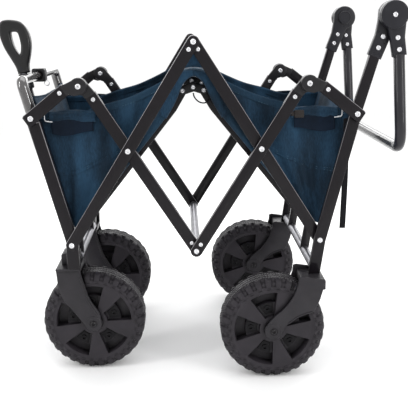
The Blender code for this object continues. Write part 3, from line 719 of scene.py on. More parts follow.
# ---------------------------------------------------------------- forks
def fork(name, x, y, crown, leg, stem, body, ridge):
    hw = WHEEL_W / 2
    bm = bmesh.new()
    block(bm, crown[0], crown[1], y - hw - 0.0098, y + hw + 0.0098, crown[2], crown[3], 0.003, 0.003)
    for s in (-1, 1):
        slab(bm, leg, y + s * (hw + 0.0025), y + s * (hw + 0.0105), 0.0024)
        # a raised rim down one edge of the leg
        slab(bm, band(ridge, 0.0016), y + s * (hw + 0.0098), y + s * (hw + 0.0120), 0.0008, steps=2)
        turned(bm, [(0, 0), (0.0196, 0), (0.0196, 0.0006), (0.0186, 0.0014), (0.0098, 0.0014),
                    (0.0088, 0.0004), (0, 0.0004)], (x, y + s * (hw + 0.0104), WHEEL_Z), (0, s, 0), 32)
    if stem:
        turned(bm, [(0, 0), (0.0070, 0), (0.0070, 0.030), (0, 0.030)], (stem, y, crown[3] - 0.002),
               (0, 0, 1), 18)
    make(name + "_arms", bm, "fork_v", body, [name])
    bm = bmesh.new()
    for s in (-1, 1):
        turned(bm, [(0.0034, 0.0000), (0.0062, 0.0000), (0.0062, 0.0030), (0.0050, 0.0040),
                    (0.0038, 0.0034), (0.0034, 0.0000)],
               (x, y + s * (hw + 0.0100), WHEEL_Z), (0, s, 0), 24)
    turned(bm, [(0, -hw - 0.010), (0.0058, -hw - 0.010), (0.0058, hw + 0.010), (0, hw + 0.010)],
           (x, y, WHEEL_Z), (0, 1, 0), 16)
    make(name + "_axle_bolt", bm, "post_paint_v", body)


def curve2(points, n=5):
    """A smooth open outline through points in the XZ plane."""
    return [(p.x, p.z) for p in smooth_path([(x, 0, z) for x, z in points], n)]


rx = REAR_AXLE[0]
rear_leg = ([(0.2995, 0.2460), (0.2975, 0.2520), (0.2450, 0.2600), (0.2370, 0.2580)]
            + curve2([(0.2355, 0.2420), (0.2250, 0.2120), (0.2040, 0.1815), (0.1830, 0.1630),
                      (0.1690, 0.1480)])
            + arc(rx, WHEEL_Z, 0.0215, 130, 350, 26)
            + curve2([(0.2040, 0.1320), (0.2140, 0.1430), (0.2350, 0.1590), (0.2520, 0.1660),
                      (0.2720, 0.1715), (0.2800, 0.1850), (0.2880, 0.2040)]))
rear_ridge = curve2([(0.2130, 0.1440), (0.2345, 0.1600), (0.2510, 0.1672), (0.2690, 0.1722)])
fx = FRONT_AXLE[0]
front_leg = ([(-0.3390, 0.2660), (-0.3370, 0.2400)]
             + curve2([(-0.3364, 0.2274), (-0.3258, 0.1912), (-0.3068, 0.1629), (-0.2850, 0.1340)])
             + arc(fx, WHEEL_Z, 0.0208, 195, 385, 24)
             + curve2([(-0.2397, 0.1527), (-0.2612, 0.1895), (-0.2722, 0.2257), (-0.2805, 0.2560)])
             + [(-0.2812, 0.2660)])
front_ridge = curve2([(-0.2440, 0.1480), (-0.2650, 0.1840), (-0.2765, 0.2240), (-0.2830, 0.2500)])


# ---------------------------------------------------------------- wheels
LUGS = 30
STEP = 360 / (LUGS * 8)
WINDOWS, HALF_WINDOW = 5, 20.5
# depth below the outer plane, by radius: (radius, on a spoke, in a window)
FACE_PROFILE = [(0.0064, 0.0120, 0.0120), (0.0066, 0.0025, 0.0025), (0.0140, 0.0020, 0.0020),
                (0.0150, 0.0045, 0.0045), (0.0215, 0.0050, 0.0050), (0.0225, 0.0034, 0.0034),
                (0.0320, 0.0034, 0.0034), (0.0335, 0.0034, 0.0130), (0.0450, 0.0034, 0.0135),
                (0.0560, 0.0034, 0.0135), (0.0655, 0.0034, 0.0130), (0.0668, 0.0034, 0.0270),
                (0.0780, 0.0034, 0.0275), (0.0895, 0.0034, 0.0270), (0.0912, 0.0034, 0.0060),
                (0.0925, 0.0034, 0.0036), (0.0975, 0.0024, 0.0024), (0.1010, 0.0006, 0.0006),
                (0.1050, 0.0002, 0.0002), (0.1075, 0.0006, 0.0006)]
# distance from the middle plane and radius across half the tread, from the shoulder inwards
TREAD = [(0.0378, 0.1110), (0.0366, 0.1160), (0.0340, 0.1200), (0.0300, 0.1228), (0.0262, 0.1242),
         (0.0222, 0.1248), (0.0212, 0.1222), (0.0170, 0.1222), (0.0160, 0.1246), (0.0085, 0.1250),
         (0.0075, 0.1228), (0.0045, 0.1228), (0.0035, 0.1250)]


def wheel(tag, x, y, first, body):
    """A moulded wheel: five windows a side, chunky shoulder lugs and ribbed tread."""
    hw = WHEEL_W / 2
    angles = {round(i * STEP, 4) for i in range(LUGS * 8)}
    mids = [first + 72 * i for i in range(WINDOWS)]
    for mid in mids:
        for e in (-HALF_WINDOW, HALF_WINDOW):
            angles |= {round((mid + e - 0.45) % 360, 4), round((mid + e + 0.45) % 360, 4)}
    bm = bmesh.new()
    rows = []
    for a in sorted(angles):
        off = min(abs((a - mid + 180) % 360 - 180) for mid in mids)
        window = off < HALF_WINDOW
        rib = round(a / STEP) % 2

        def across(side):
            k = (a / STEP + (4 if side > 0 else 0)) % 8
            notch = max(0.0, min(1.0, 2.1 - abs(k - 4))) if abs(k - 4) < 2.1 else 0.0
            face = []
            for r, flat, deep in FACE_PROFILE:
                edge = min(1.0, max(0.0, (r - 0.103) / 0.004))
                depth = (deep if window else flat) + 0.0030 * notch * edge
                face.append((r, side * (hw - depth)))
            out = []
            for d, r in TREAD:
                cut = notch * 0.0062 * min(1.0, max(0.0, (d - 0.0215) / 0.004))
                knurl = 0.0013 * rib if 0.008 < d < 0.0165 or d < 0.004 else 0.0
                out.append((r - cut - knurl, side * (d - 0.0030 * notch * (d > 0.0350))))
            return face + out

        profile = across(-1) + across(1)[::-1]
        rows.append([bm.verts.new((x + r * cos(radians(a)), y + d, WHEEL_Z + r * sin(radians(a))))
                     for r, d in profile])
    for i, u in enumerate(rows):
        skin(bm, u, rows[(i + 1) % len(rows)])
    make("wheel_" + tag, bm, "wheel_v", body, ["tyre_" + tag, "wheel_disc_" + tag], 32, weld=False)
    bm = bmesh.new()
    marks = bmesh.new()
    for s in (-1, 1):
        for mid in mids:
            # the ribbed plate inside each window, with its boss, in a darker copy of the wheel plastic as
            # painted shade of the recess
            f = local((x, WHEEL_Z), radians(mid))
            pts = arc(0, 0, 0.0650, -15, 15, 6) + arc(0, 0, 0.0380, 13, -13, 4)
            slab(bm, [f(p) for p in pts], y + s * (hw - 0.0180), y + s * (hw - 0.0118), 0.0012)
            cx, cz = f((0.0530, 0))
            turned(bm, [(0.0036, -0.001), (0.0072, -0.001), (0.0068, 0.0026), (0.0060, 0.0030),
                        (0.0040, 0.0030), (0.0036, -0.001)],
                   (cx, y + s * (hw - 0.0118), cz), (0, s, 0), 20)
        # paired ribs on the shoulder lugs
        for i in range(LUGS):
            a = 360 / LUGS * (i + (0 if s < 0 else 0.5))
            f = local((x, WHEEL_Z), radians(a))
            for r in (0.1015, 0.1060):
                pts = arc(0, 0, r, -2.6, 2.6, 3) + arc(0, 0, r - 0.0013, 2.6, -2.6, 3)
                slab(marks, [f(p) for p in pts], y + s * (hw - 0.0015), y + s * (hw + 0.0008),
                     0.0004, steps=2)
    make("wheel_plates_" + tag, bm, "wheel_recess_shade_v", body)
    make("wheel_marks_" + tag, marks, "wheel_v", body)


for tag, s in SIDES:
    fork("fork_rear_" + tag, rx, s * REAR_AXLE[1], (0.2450, 0.3000, 0.2265, 0.2500), rear_leg,
         None, "rear_end", rear_ridge)
    wheel("rear_" + tag, rx, s * REAR_AXLE[1], 105, "wheel_rear_" + tag)
    fork("fork_front_" + tag, fx, s * FRONT_AXLE[1], (-0.3380, -0.2815, 0.2530, 0.2635), front_leg,
         SWIVEL[0], "caster_" + tag, front_ridge)
    wheel("front_" + tag, fx, s * FRONT_AXLE[1], 94, "wheel_front_" + tag)

# ---------------------------------------------------------------- push handle and hubs
FIX, MOV = (0.2240, 0.2395), (0.2402, 0.2570)
POST_END, TUBE_START = (0.4036, 0.7573), (0.4560, 0.7600)


def hub(name, y0, y1, s, toward, reach, half, body, tangent_up):
    """A round hub with a stepped sleeve that takes a tube."""
    f = local(HUB, atan2(toward[1] - HUB[1], toward[0] - HUB[0]))
    # the sleeve leaves the disc as a tangent on its outer side
    pts = arc(0, 0, 0.0312, 35, 272, 34) + [(0.0220, -0.0235), (0.0520, -half - 0.0005),
                                            (reach, -half + 0.0005), (reach, half - 0.0005), (0.0400, half)]
    if tangent_up:
        pts = [(a, -b) for a, b in pts]
    bm = bmesh.new()
    slab(bm, [f(p) for p in pts], y0, y1, 0.0035, steps=4)
    out = max(abs(y0), abs(y1))
    turned(bm, [(0, -0.001), (0.0306, -0.001), (0.0306, 0.0030), (0.0294, 0.0044), (0.0240, 0.0048),
                (0, 0.0050)], (HUB[0], s * out, HUB[1]), (0, s, 0), 40)
    make(name + "_shell", bm, "hub_v", body, [name])
    bm = bmesh.new()
    for k in (0.050, 0.076):
        px, pz = f((k, 0))
        rivet(bm, px, pz, s * out - s * 0.0002, s, 0.0056, 0.0026)
        inner = min(abs(y0), abs(y1))
        rivet(bm, px, pz, s * inner + s * 0.0002, -s, 0.0056, 0.0026)
    return bm


for tag, s in SIDES:
    reach = hypot(POST_END[0] - HUB[0], POST_END[1] - HUB[1])
    bm = hub("hub_fixed_" + tag, s * FIX[0], s * FIX[1], s, POST_END, reach, 0.0168, "rear_end", False)
    make("hub_fixed_screws_" + tag, bm, "rivet_v", "rear_end")
    bm = hub("hub_moving_" + tag, s * MOV[0], s * MOV[1], s, TUBE_START, 0.0905, 0.0160,
             "push_handle", True)
    rivet(bm, HUB[0], HUB[1], s * (MOV[1] + 0.0048), s, 0.0056, 0.0026)
    make("hub_moving_screws_" + tag, bm, "rivet_v", "push_handle")
    bm = bmesh.new()
    turned(bm, [(0, -0.0035), (0.0096, -0.0035), (0.0096, 0.0010), (0.0180, 0.0012), (0.0180, 0.0052),
                (0.0170, 0.0064), (0.0150, 0.0066), (0.0142, 0.0056), (0, 0.0056)],
           (HUB[0], s * FIX[0], HUB[1]), (0, -s, 0), 36)
    make("button_" + tag + "_cap", bm, "hub_v", "button_" + tag, ["release_button_" + tag])

HY = sum(MOV) / 2
down_tube = local(HUB, atan2(TUBE_START[1] - HUB[1], TUBE_START[0] - HUB[0]))
top = down_tube((0.0862, 0))
leg = [(top[0], -HY, top[1]), (0.4711, -HY, 0.5500)]
bm = bmesh.new()
u_path = leg + [(x, -y, z) for x, y, z in leg[::-1]]
sweep(bm, rounded(u_path, 0.046, 12), 0.0130, 0.96, 28, (1, 0, 0), power=0.92)
make("push_tube", bm, "handle_paint_v", "push_handle", ["push_handle"], 60)

# ---------------------------------------------------------------- pull handle
HD = Vector((-sin(HANDLE_LEAN), 0, cos(HANDLE_LEAN)))
HF = Vector((HANDLE_FOOT[0], 0, HANDLE_FOOT[1]))
HANDLE_LEN = 0.4290
bm = bmesh.new()
sweep(bm, [HF - HD * 0.010, HF + HD * (HANDLE_LEN - 0.03)], 0.0115, n=24)
make("pull_outer_tube", bm, "handle_paint_v", "pull_outer", ["handle_outer_tube"], 60)
bm = bmesh.new()
turned(bm, [(0, -0.0225), (0.0055, -0.0225), (0.0055, 0.0225), (0, 0.0225)], HF, (0, 1, 0), 16)
make("pull_pin", bm, "rivet_v", "pull_outer")
bm = bmesh.new()
turned(bm, [(0.0116, 0), (0.0160, 0.001), (0.0172, 0.006), (0.0172, 0.030), (0.0150, 0.036),
            (0.0110, 0.037), (0.0108, 0)], HF + HD * (HANDLE_LEN - 0.037), HD, 28)
make("pull_collar", bm, "hub_v", "pull_outer")
bm = bmesh.new()
sweep(bm, [HF + HD * 0.080, HF + HD * (HANDLE_LEN + 0.0110)], 0.0090, n=24)
make("pull_inner_tube", bm, "bright_v", "pull_inner", ["handle_inner_tube"], 60)

FCX = -0.293
bm = bmesh.new()
for s in (-1, 1):
    ear = [(FCX - 0.0115, 0.2645), (FCX - 0.0115, 0.2855)] + arc(*HANDLE_FOOT, 0.0115, 75, 235, 14)
    slab(bm, ear, s * 0.0145, s * 0.0208, 0.0014)
block(bm, FCX - 0.0150, FCX - 0.0105, -0.0200, 0.0200, 0.2650, 0.2850, 0.001, 0.001)
make("pull_bracket", bm, "hub_v", "front_end", ["handle_bracket"])

GTOP = HF + HD * (HANDLE_LEN + 0.0123)
g = local((GTOP.x + 0.0040, GTOP.z - 0.0080), radians(98.5))
loop_out = curve2([(0.0000, 0.0142), (0.0164, 0.0161), (0.0373, 0.0230), (0.0655, 0.0334), (0.0892, 0.0381),
                   (0.1089, 0.0389), (0.1276, 0.0350), (0.1344, 0.0270), (0.1358, 0.0154), (0.1338, 0.0028),
                   (0.1274, -0.0154), (0.1164, -0.0261), (0.1004, -0.0324), (0.0806, -0.0341),
                   (0.0616, -0.0318), (0.0433, -0.0260), (0.0283, -0.0199), (0.0164, -0.0158),
                   (0.0000, -0.0142)], 4)
hole = soften([(0.1055, 0.0110), (0.1025, -0.0066), (0.0860, -0.0083), (0.0698, -0.0081), (0.0544, -0.0045),
               (0.0470, 0.0003), (0.0562, 0.0055), (0.0703, 0.0100), (0.0869, 0.0120)], 0.0060, 4)
bm = bmesh.new()
slab(bm, [g(p) for p in loop_out], -0.0135, 0.0135, 0.0075, [[g(p) for p in hole]], 5)
make("grip_loop_v", bm, "grip_v", "pull_inner", ["grip"], 60)
bm = bmesh.new()
collar_dir = Vector((cos(radians(98)), 0, sin(radians(98))))
turned(bm, [(0, -0.003), (0.0125, -0.003), (0.0138, 0.000), (0.0138, 0.010), (0.0118, 0.013),
            (0, 0.013)], GTOP, collar_dir, 28)
make("grip_collar", bm, "hub_v", "pull_inner")

bm = bmesh.new()
slab(bm, soften([(RAIL[0] - 0.0165, RAIL[1] - 0.0165), (RAIL[0] + 0.0165, RAIL[1] - 0.0165),
                 (RAIL[0] + 0.0165, RAIL[1] + 0.0165), (RAIL[0] - 0.0165, RAIL[1] + 0.0165)], 0.006),
     -0.0170, 0.0170, 0.003, [circle(*RAIL, TUBE_R * 0.70 + 0.0012)])
for s in (-1, 1):
    block(bm, -0.4370, RAIL[0] - 0.0130, s * 0.0125, s * 0.0168, RAIL[1] - 0.0160, RAIL[1] + 0.0028,
          0.0012, 0.003)
make("rail_clip_body", bm, "knuckle_v", "front_end", ["rail_clip"])
bm = bmesh.new()
ring_c = Vector((RAIL[0] + 0.0175, 0.0, RAIL[1] - 0.0210))
sweep(bm, [ring_c + Vector((0.0062 * cos(a), 0, 0.0062 * sin(a))) for a in
           [radians(100 + 340 * i / 24) for i in range(25)]], 0.0011, n=8, rim=0.0004)
make("rail_clip_ring", bm, "wire_v", "front_end")

# ---------------------------------------------------------------- floor bars and centre bracket
ff = local(FP1, FLOOR_ANGLE)
for end, m in ENDS:
    for tag, s in SIDES:
        y0 = s * 0.105 + m * 0.0005
        y1 = s * 0.105 + m * 0.0125
        e = FLOOR_LEN
        spine = band([(0.0, 0.0), (e - 0.070, 0.0060), (e - 0.022, 0.0135)], 0.0100)
        outline = [ff(p) for p in arc(0, 0, 0.0120, 110, 250, 10) + spine[3:][::-1] + spine[:3][::-1]]
        bm = bmesh.new()
        slab(bm, outline if m < 0 else flip(outline), y0, y1, 0.0018)
        body = "floor_" + end
        make("floor_tube_%s_%s" % (end, tag), bm, "bar_paint_v", body, ["floor_bar_%s_%s" % (end, tag)])
        # moulded arm from the hinge to the bar, with its rivets
        tip = arc(e, 0, 0.0112, 57, -123, 12) + arc(e - 0.0231, 0.0145, 0.0108, 237, 57, 12)
        tip = [ff(p) for p in tip]
        bm = bmesh.new()
        slab(bm, tip if m < 0 else flip(tip), y0 - m * 0.0003, y1 + m * 0.0004, 0.0018)
        make("floor_tip_%s_%s" % (end, tag), bm, "knuckle_v", body)
        spots = [ff((e, 0)), ff((e - 0.0231, 0.0145))]
        bm = bmesh.new()
        for px, pz in spots if m < 0 else flip(spots):
            rivet(bm, px, pz, y1, m, 0.0060, 0.0028)
            if m > 0 or (px, pz) != spots[0]:
                rivet(bm, px, pz, y0, -m, 0.0060, 0.0004 if (px, pz) == spots[0] else 0.0024)
        make("floor_rivets_%s_%s" % (end, tag), bm, "rivet_v", body)

CORD = [(0.000, -0.1240, 0.6745), (0.003, -0.1250, 0.6640), (0.012, -0.1255, 0.6540),
        (0.024, -0.1255, 0.6500), (0.034, -0.1250, 0.6530), (0.037, -0.1240, 0.6590)]
cord_path = smooth_path(CORD, 4)
bm = bmesh.new()
sweep(bm, cord_path, 0.0016, n=10, rim=0.0004)
lift = make("lift_loop", bm, "web_v", "floor_rear", ["lift_cord"], 80)


# ---------------------------------------------------------------- fabric
def wave(p, scale, seed):
    return noise.noise(Vector(p) * scale + Vector((seed * 7.31, seed * 3.7, seed * 1.9)))


def patch(name, place, nu, nv, size, mat, thick=0.0012, sharp=70):
    """A sheet over u, v in 0..1 with a weave map in metres, given a real thickness."""
    bm = bmesh.new()
    uv = bm.loops.layers.uv.new("weave")
    grid = [[bm.verts.new(place(i / nu, j / nv)) for i in range(nu + 1)] for j in range(nv + 1)]
    for j in range(nv):
        for i in range(nu):
            f = bm.faces.new((grid[j][i], grid[j][i + 1], grid[j + 1][i + 1], grid[j + 1][i]))
            for loop, (a, b) in zip(f.loops, ((i, j), (i + 1, j), (i + 1, j + 1), (i, j + 1))):
                loop[uv].uv = (a / nu * size[0], b / nv * size[1])
    ob = make(name, bm, mat, sharp=sharp, weld=False)
    solid = ob.modifiers.new("cloth", "SOLIDIFY")
    solid.thickness, solid.offset = thick, 0.0
    return ob


def cloth_area(ob):
    return sum(f.area for f in ob.data.polygons)


def as_sheet(ob, size):
    area = cloth_area(ob)
    w, h = size
    if w * h < area:
        k = (area / (w * h)) ** 0.5 * 1.001
        w, h = w * k, h * k


def lerp(a, b, t):
    return tuple(p + (q - p) * t for p, q in zip(a, b))


def along(points, t):
    """A point at share t of a polyline's length, on its smooth curve."""
    path = smooth_path([(x, 0, z) for x, z in points], 10)
    lengths = [0.0]
    for a, b in zip(path, path[1:]):
        lengths.append(lengths[-1] + (b - a).length)
    want = t * lengths[-1]
    for i in range(1, len(path)):
        if lengths[i] >= want - 1e-12:
            k = (want - lengths[i - 1]) / max(lengths[i] - lengths[i - 1], 1e-9)
            p = path[i - 1].lerp(path[i], k)
            return p.x, p.z
    return path[-1].x, path[-1].z


BASE = 0.362
up = local(FP1, RISE)


def post_x(z):
    t = (z - FP1[1]) / (FP2[1] - FP1[1])
    return FP1[0] + (FP2[0] - FP1[0]) * t


RIM = [(-0.3600, 0.6420), (-0.3140, 0.6420), (-0.264, 0.6395), (-0.197, 0.659), (-0.137, 0.676),
       (-0.065, 0.709), (-0.0250, 0.7350)]
BAR_LOW = up((0.0480, 0.0))
BAR_HIGH = RIM[-1]


def coons(left, right, low, high):
    """A patch inside four curves, each a function of 0..1."""
    def at(u, v):
        a, b, c, d = left(v), right(v), low(u), high(u)
        return tuple((1 - u) * a[k] + u * b[k] + (1 - v) * c[k] + v * d[k]
                     - ((1 - u) * (1 - v) * low(0)[k] + u * (1 - v) * low(1)[k]
                        + (1 - u) * v * high(0)[k] + u * v * high(1)[k]) for k in (0, 1))
    return at


rim_table = [along(RIM, i / 60) for i in range(61)]


def rim_at(u):
    k = min(int(u * 60), 59)
    return lerp(rim_table[k], rim_table[k + 1], u * 60 - k)


def upper_flat(past):
    """The wall above the rising bar. past is how far behind the post it reaches."""
    low, top = (post_x(BASE) + 0.008 - past, BASE), (-0.3600 - past, 0.6420)
    return coons(lambda v: lerp(low, top, v), lambda v: lerp(BAR_LOW, BAR_HIGH, v),
                 lambda u: lerp(low, BAR_LOW, u),
                 lambda u: lerp(top, rim_at(u), min(1.0, u * 8)))


def folds(x, z, seed):
    """Outward swell of a side wall: creases that fan out from the lower corner, and sag."""
    dx, dz = x - FP1[0], z - FP1[1]
    r, a = hypot(dx, dz), atan2(dz, dx)
    fan = wave((a * 5.0, r * 2.2, seed), 1.0, seed)
    tight = wave((a * 13.0, r * 4.0, seed), 1.0, seed + 3)
    cross = wave((x * 16, z * 22, seed), 1.0, seed + 5)
    return (0.0085 * fan + 0.0040 * tight) * min(1.0, r / 0.14) + 0.0028 * cross


def blend_upper(ob):
    """Bake the piece's placement into its mesh; the angle between the rising bar and the post is worked out
    but not used.
    """
    half = (RISE + pi - atan2(FP2[1] - FP1[1], FP1[0] - FP2[0])) / 2
    mid = half
    base = Vector(FP1) + Vector((cos(mid), sin(mid))) * 0.15
    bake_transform(ob)


def blend_lower(ob):
    """Bake the piece's placement into its mesh; the angle between the rising bar and the floor is worked
    out but not used.
    """
    mid = (RISE + FLOOR_ANGLE) / 2
    base = Vector(FP1) + Vector((cos(mid), sin(mid))) * 0.3
    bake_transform(ob)


def band_piece(name, points, ys, half, mat, thick):
    """A flat band along points in the XZ plane with its own y at each point."""
    bm = bmesh.new()
    uv = bm.loops.layers.uv.new("weave")
    rows = []
    run = 0.0
    runs = [0.0]
    for a, b in zip(points, points[1:]):
        run += hypot(b[0] - a[0], b[1] - a[1])
        runs.append(run)
    for i, p in enumerate(points):
        a, b = points[max(i - 1, 0)], points[min(i + 1, len(points) - 1)]
        d = Vector((b[0] - a[0], b[1] - a[1])).normalized()
        row = []
        for k in (-1, -0.5, 0, 0.5, 1):
            row.append(bm.verts.new((p[0] - d.y * half * k, ys[i], p[1] + d.x * half * k)))
        rows.append(row)
    for i, (u, v) in enumerate(zip(rows, rows[1:])):
        for k in range(4):
            f = bm.faces.new((u[k], u[k + 1], v[k + 1], v[k]))
            for loop, (a, b) in zip(f.loops, ((i, k), (i, k + 1), (i + 1, k + 1), (i + 1, k))):
                loop[uv].uv = (b * half / 2, runs[a])
    ob = make(name, bm, mat, weld=False, sharp=70)
    solid = ob.modifiers.new("cloth", "SOLIDIFY")
    solid.thickness, solid.offset = thick, 0.0
    return ob


def stitches(name, points, ys, s, mat="stitch_v", length=0.0042, gap=0.0024):
    """Short raised stitches along a line on a side wall."""
    bm = bmesh.new()
    uv = bm.loops.layers.uv.new("weave")
    run = 0.0
    for i in range(len(points) - 1):
        a = Vector((points[i][0], ys[i], points[i][1]))
        b = Vector((points[i + 1][0], ys[i + 1], points[i + 1][1]))
        seg = (b - a).length
        t = (-run) % (length + gap)
        while t + length < seg:
            p = a.lerp(b, t / seg) + Vector((0, s * 0.0007, 0))
            q = a.lerp(b, (t + length) / seg) + Vector((0, s * 0.0007, 0))
            sweep(bm, [p, p.lerp(q, 0.5) + Vector((0, s * 0.0003, 0)), q], 0.00055, n=5, rim=0.0002)
            t += length + gap
        run += seg
    return make(name, bm, mat, sharp=80)


for tag, s in SIDES:
    for end, m in ENDS:
        seed = 1 + (s > 0) + 2 * (m > 0)
        node_of = "_%s_%s" % (end, tag)

        flat = upper_flat(0.0 if m < 0 else 0.0120)

        def upper(u, v, m=m, s=s, seed=seed, flat=flat):
            x, z = flat(u, v)
            edge = min(1.0, 8 * u, 6 * (1 - u), 5 * v)
            pull = folds(x, z, seed) * edge
            lip = -0.0035 * exp(-((1 - v) / 0.03) ** 2)
            return (m * -x, s * (TUB_Y - 0.001 + pull + lip), z)

        wall = patch("wall_upper" + node_of, upper, 56, 48, (0.31, 0.30), "navy_v")
        blend_upper(wall)
        # hem along the rim
        pts, ys = [], []
        for i in range(49):
            u = i / 48
            px, py, pz = upper(u, 0.972)
            pts.append((px, pz))
            ys.append(py + s * 0.0016)
        hem = band_piece("hem" + node_of, pts, ys, 0.0085, "hem_v", 0.0018)
        blend_upper(hem)
        low = [(x, z - 0.0060) for x, z in pts]
        line = stitches("hem_stitch" + node_of, low, [y + s * 0.0006 for y in ys], s)
        blend_upper(line)
        # a doubled seam across the lower panel
        sew, sew_y = [], []
        for i in range(41):
            u = 0.05 + 0.90 * i / 40
            px, py, pz = upper(u, 0.46 + 0.10 * u)
            sew.append((px, pz))
            sew_y.append(py)
        for k, dz in enumerate((0.0, 0.0055)):
            line = stitches("seam_stitch_%d%s" % (k, node_of), [(x, z + dz) for x, z in sew], sew_y, s)
            blend_upper(line)
        fold = band_piece("seam_fold" + node_of, [(x, z + 0.0027) for x, z in sew],
                          [y + s * 0.0004 for y in sew_y], 0.0050, "navy_v", 0.0012)
        blend_upper(fold)
        as_sheet(wall, (0.36, 0.31))
        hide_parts("side_wall_" + tag)

# the strip of side wall between the rising bar and the floor, and the arch over the peak
def lower_wall(end, m, tag, s):
    seed = 11 + (s > 0) + 2 * (m > 0)
    a0, b0 = up((0.0480, 0.0)), ff((0.0500, 0.0080))
    a1 = up((SPAN - 0.0950, -0.006))
    b1 = ff((FLOOR_LEN - 0.0800, 0.0105))

    def place(u, v):
        x, z = lerp(lerp(b0, b1, v), lerp(a0, a1, v), u)
        bulge = 0.0075 * sin(pi * min(1, u * 1.6)) + 0.0016 * wave((x * 30, z * 30, 0), 1.0, seed)
        return (m * -x, s * (TUB_Y + 0.0010 + bulge), z)

    ob = patch("wall_lower_%s_%s" % (end, tag), place, 16, 60, (0.05, 0.45), "floor_v")
    blend_lower(ob)
    as_sheet(ob, (0.06, 0.46))
    return ob


ARCH_OUT = [(-0.0803, 0.6350), (-0.0600, 0.6800), (-0.0398, 0.7153), (-0.0252, 0.7291), (-0.0090, 0.7338),
            (0.0, 0.7342)]
ARCH_IN = [(-0.0640, 0.6230), (-0.0420, 0.6620), (-0.0262, 0.6980), (-0.0140, 0.7125), (-0.0060, 0.7175),
           (0.0, 0.7190)]


def arch_side(end, m, tag, s):
    """The padded edge of the floor cloth, rounded over the peak."""
    seed = 15 + (s > 0) + 2 * (m > 0)
    outer = [along(ARCH_OUT, i / 30) for i in range(31)]
    inner = [along(ARCH_IN, i / 30) for i in range(31)]

    def place(u, v):
        a, b = outer[round(v * 30)], inner[round(v * 30)]
        t = 0.5 - 0.5 * cos(pi * u)
        x, z = lerp(b, a, t)
        swell = 0.0125 * sin(pi * u) ** 0.7 + 0.0010 * wave((x * 60, z * 60, 0), 1.0, seed)
        return (m * -x, s * (TUB_Y - 0.0020 + swell), z)

    # a cord in the light thread colour along the upper arch; its lightness is a painted highlight on the
    # arch's top edge
    pipe = [place(1.0, k / 30) for k in range(12, 31)]
    bm = bmesh.new()
    sweep(bm, [(px, py + s * 0.0012, pz + 0.0008) for px, py, pz in pipe], 0.0016, n=8, rim=0.0004)
    highlight_piping = make("arch_piping_%s_%s" % (end, tag), bm, "stitch_v", "floor_" + end)
    ob = patch("arch_%s_%s" % (end, tag), place, 12, 30, (0.03, 0.13), "navy_v")
    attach(ob, "floor_" + end)
    as_sheet(ob, (0.035, 0.13))


for tag, s in SIDES:
    for end, m in ENDS:
        lower_wall(end, m, tag, s)
        arch_side(end, m, tag, s)

    # the middle of the wall hangs from the apex, behind the rising bars
    def gusset(u, v, s=s):
        x = (2 * u - 1) * (0.0440 * (1 - v) + 0.0170 * v)
        low_z = 0.7400 - 6.0 * x * x
        z = low_z + (0.7830 - 0.55 * abs(x) - low_z) * v
        tuck = 0.0030 * sin(pi * v) + 0.0016 * wave((x * 50, z * 50, 0), 1.0, 5)
        return (x, s * (TUB_Y + 0.0030 + tuck), z)

    mid = patch("wall_middle_" + tag, gusset, 24, 20, (0.09, 0.05), "navy_v")
    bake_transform(mid)
    as_sheet(mid, (0.095, 0.05))


# ---------------------------------------------------------------- floor
def floor_sheet(end, m):
    """The floor cloth over its bars, with half of the hump over the peak."""
    start, stop = ff((0.052, DECK)), ff((FLOOR_LEN - 0.0780, DECK))
    length = hypot(stop[0] - start[0], stop[1] - start[1])
    hump = [along([stop] + ARCH_OUT[1:], i / 16) for i in range(17)]
    body_n = 44
    line = [lerp(start, stop, i / body_n) for i in range(body_n)] + hump
    n = len(line) - 1

    def place(u, v):
        i = min(int(v * n), n - 1)
        x, z = lerp(line[i], line[i + 1], v * n - i)
        w = 2 * u - 1
        roll = 0.0085 * max(0.0, (abs(w) - 0.93) / 0.07) ** 2
        soft = 0.0020 * wave((x * 22, w * 6, z * 9), 1.0, 21 + (m > 0)) * (1 - abs(w) ** 6)
        nx, nz = -sin(FLOOR_ANGLE), cos(FLOOR_ANGLE)
        return (m * -(x + nx * (soft - roll)), w * (TUB_Y - 0.0010), z + nz * (soft - roll))

    ob = patch("floor_cloth_" + end, place, 48, n, (0.394, length + 0.13), "floor_v", 0.0030)
    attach(ob, "floor_" + end)
    as_sheet(ob, (0.394, length + 0.14))
    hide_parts("floor_panel_" + end)
    if m < 0:
        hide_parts("floor_peak_fabric")


for end, m in ENDS:
    floor_sheet(end, m)


# ---------------------------------------------------------------- end panels and pocket
def end_panel(end, m):
    zt = 0.6800 if m < 0 else 0.660

    def place(u, v):
        z = BASE + 0.008 + (zt - BASE - 0.008) * v
        w = 2 * u - 1
        sag = 0.010 * v ** 6 * (1 - w * w)
        x = -post_x(z) - (0.0130 if m < 0 else 0.0060)
        crease = 0.0030 * wave((w * 4, z * 12, 0), 1.0, 31 + (m > 0)) * (1 - w ** 4)
        return (m * (x - crease), w * (TUB_Y - 0.0015), z - sag)

    ob = patch(end + "_cloth", place, 44, 34, (0.39, 0.29), "navy_v", 0.0014)
    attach(ob, end + "_end")
    as_sheet(ob, (0.395, 0.29))
    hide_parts(end + "_panel")

    def lip(u, v):
        x, y, z = place(u, 1.0)
        a = pi * v
        return (x + m * 0.0022 * cos(a), y, z - 0.018 * (1 - v) + 0.002 * sin(a))

    hem = patch(end + "_cloth_hem", lip, 44, 6, (0.39, 0.02), "hem_v", 0.0014)
    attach(hem, end + "_end")


for end, m in ENDS:
    end_panel(end, m)


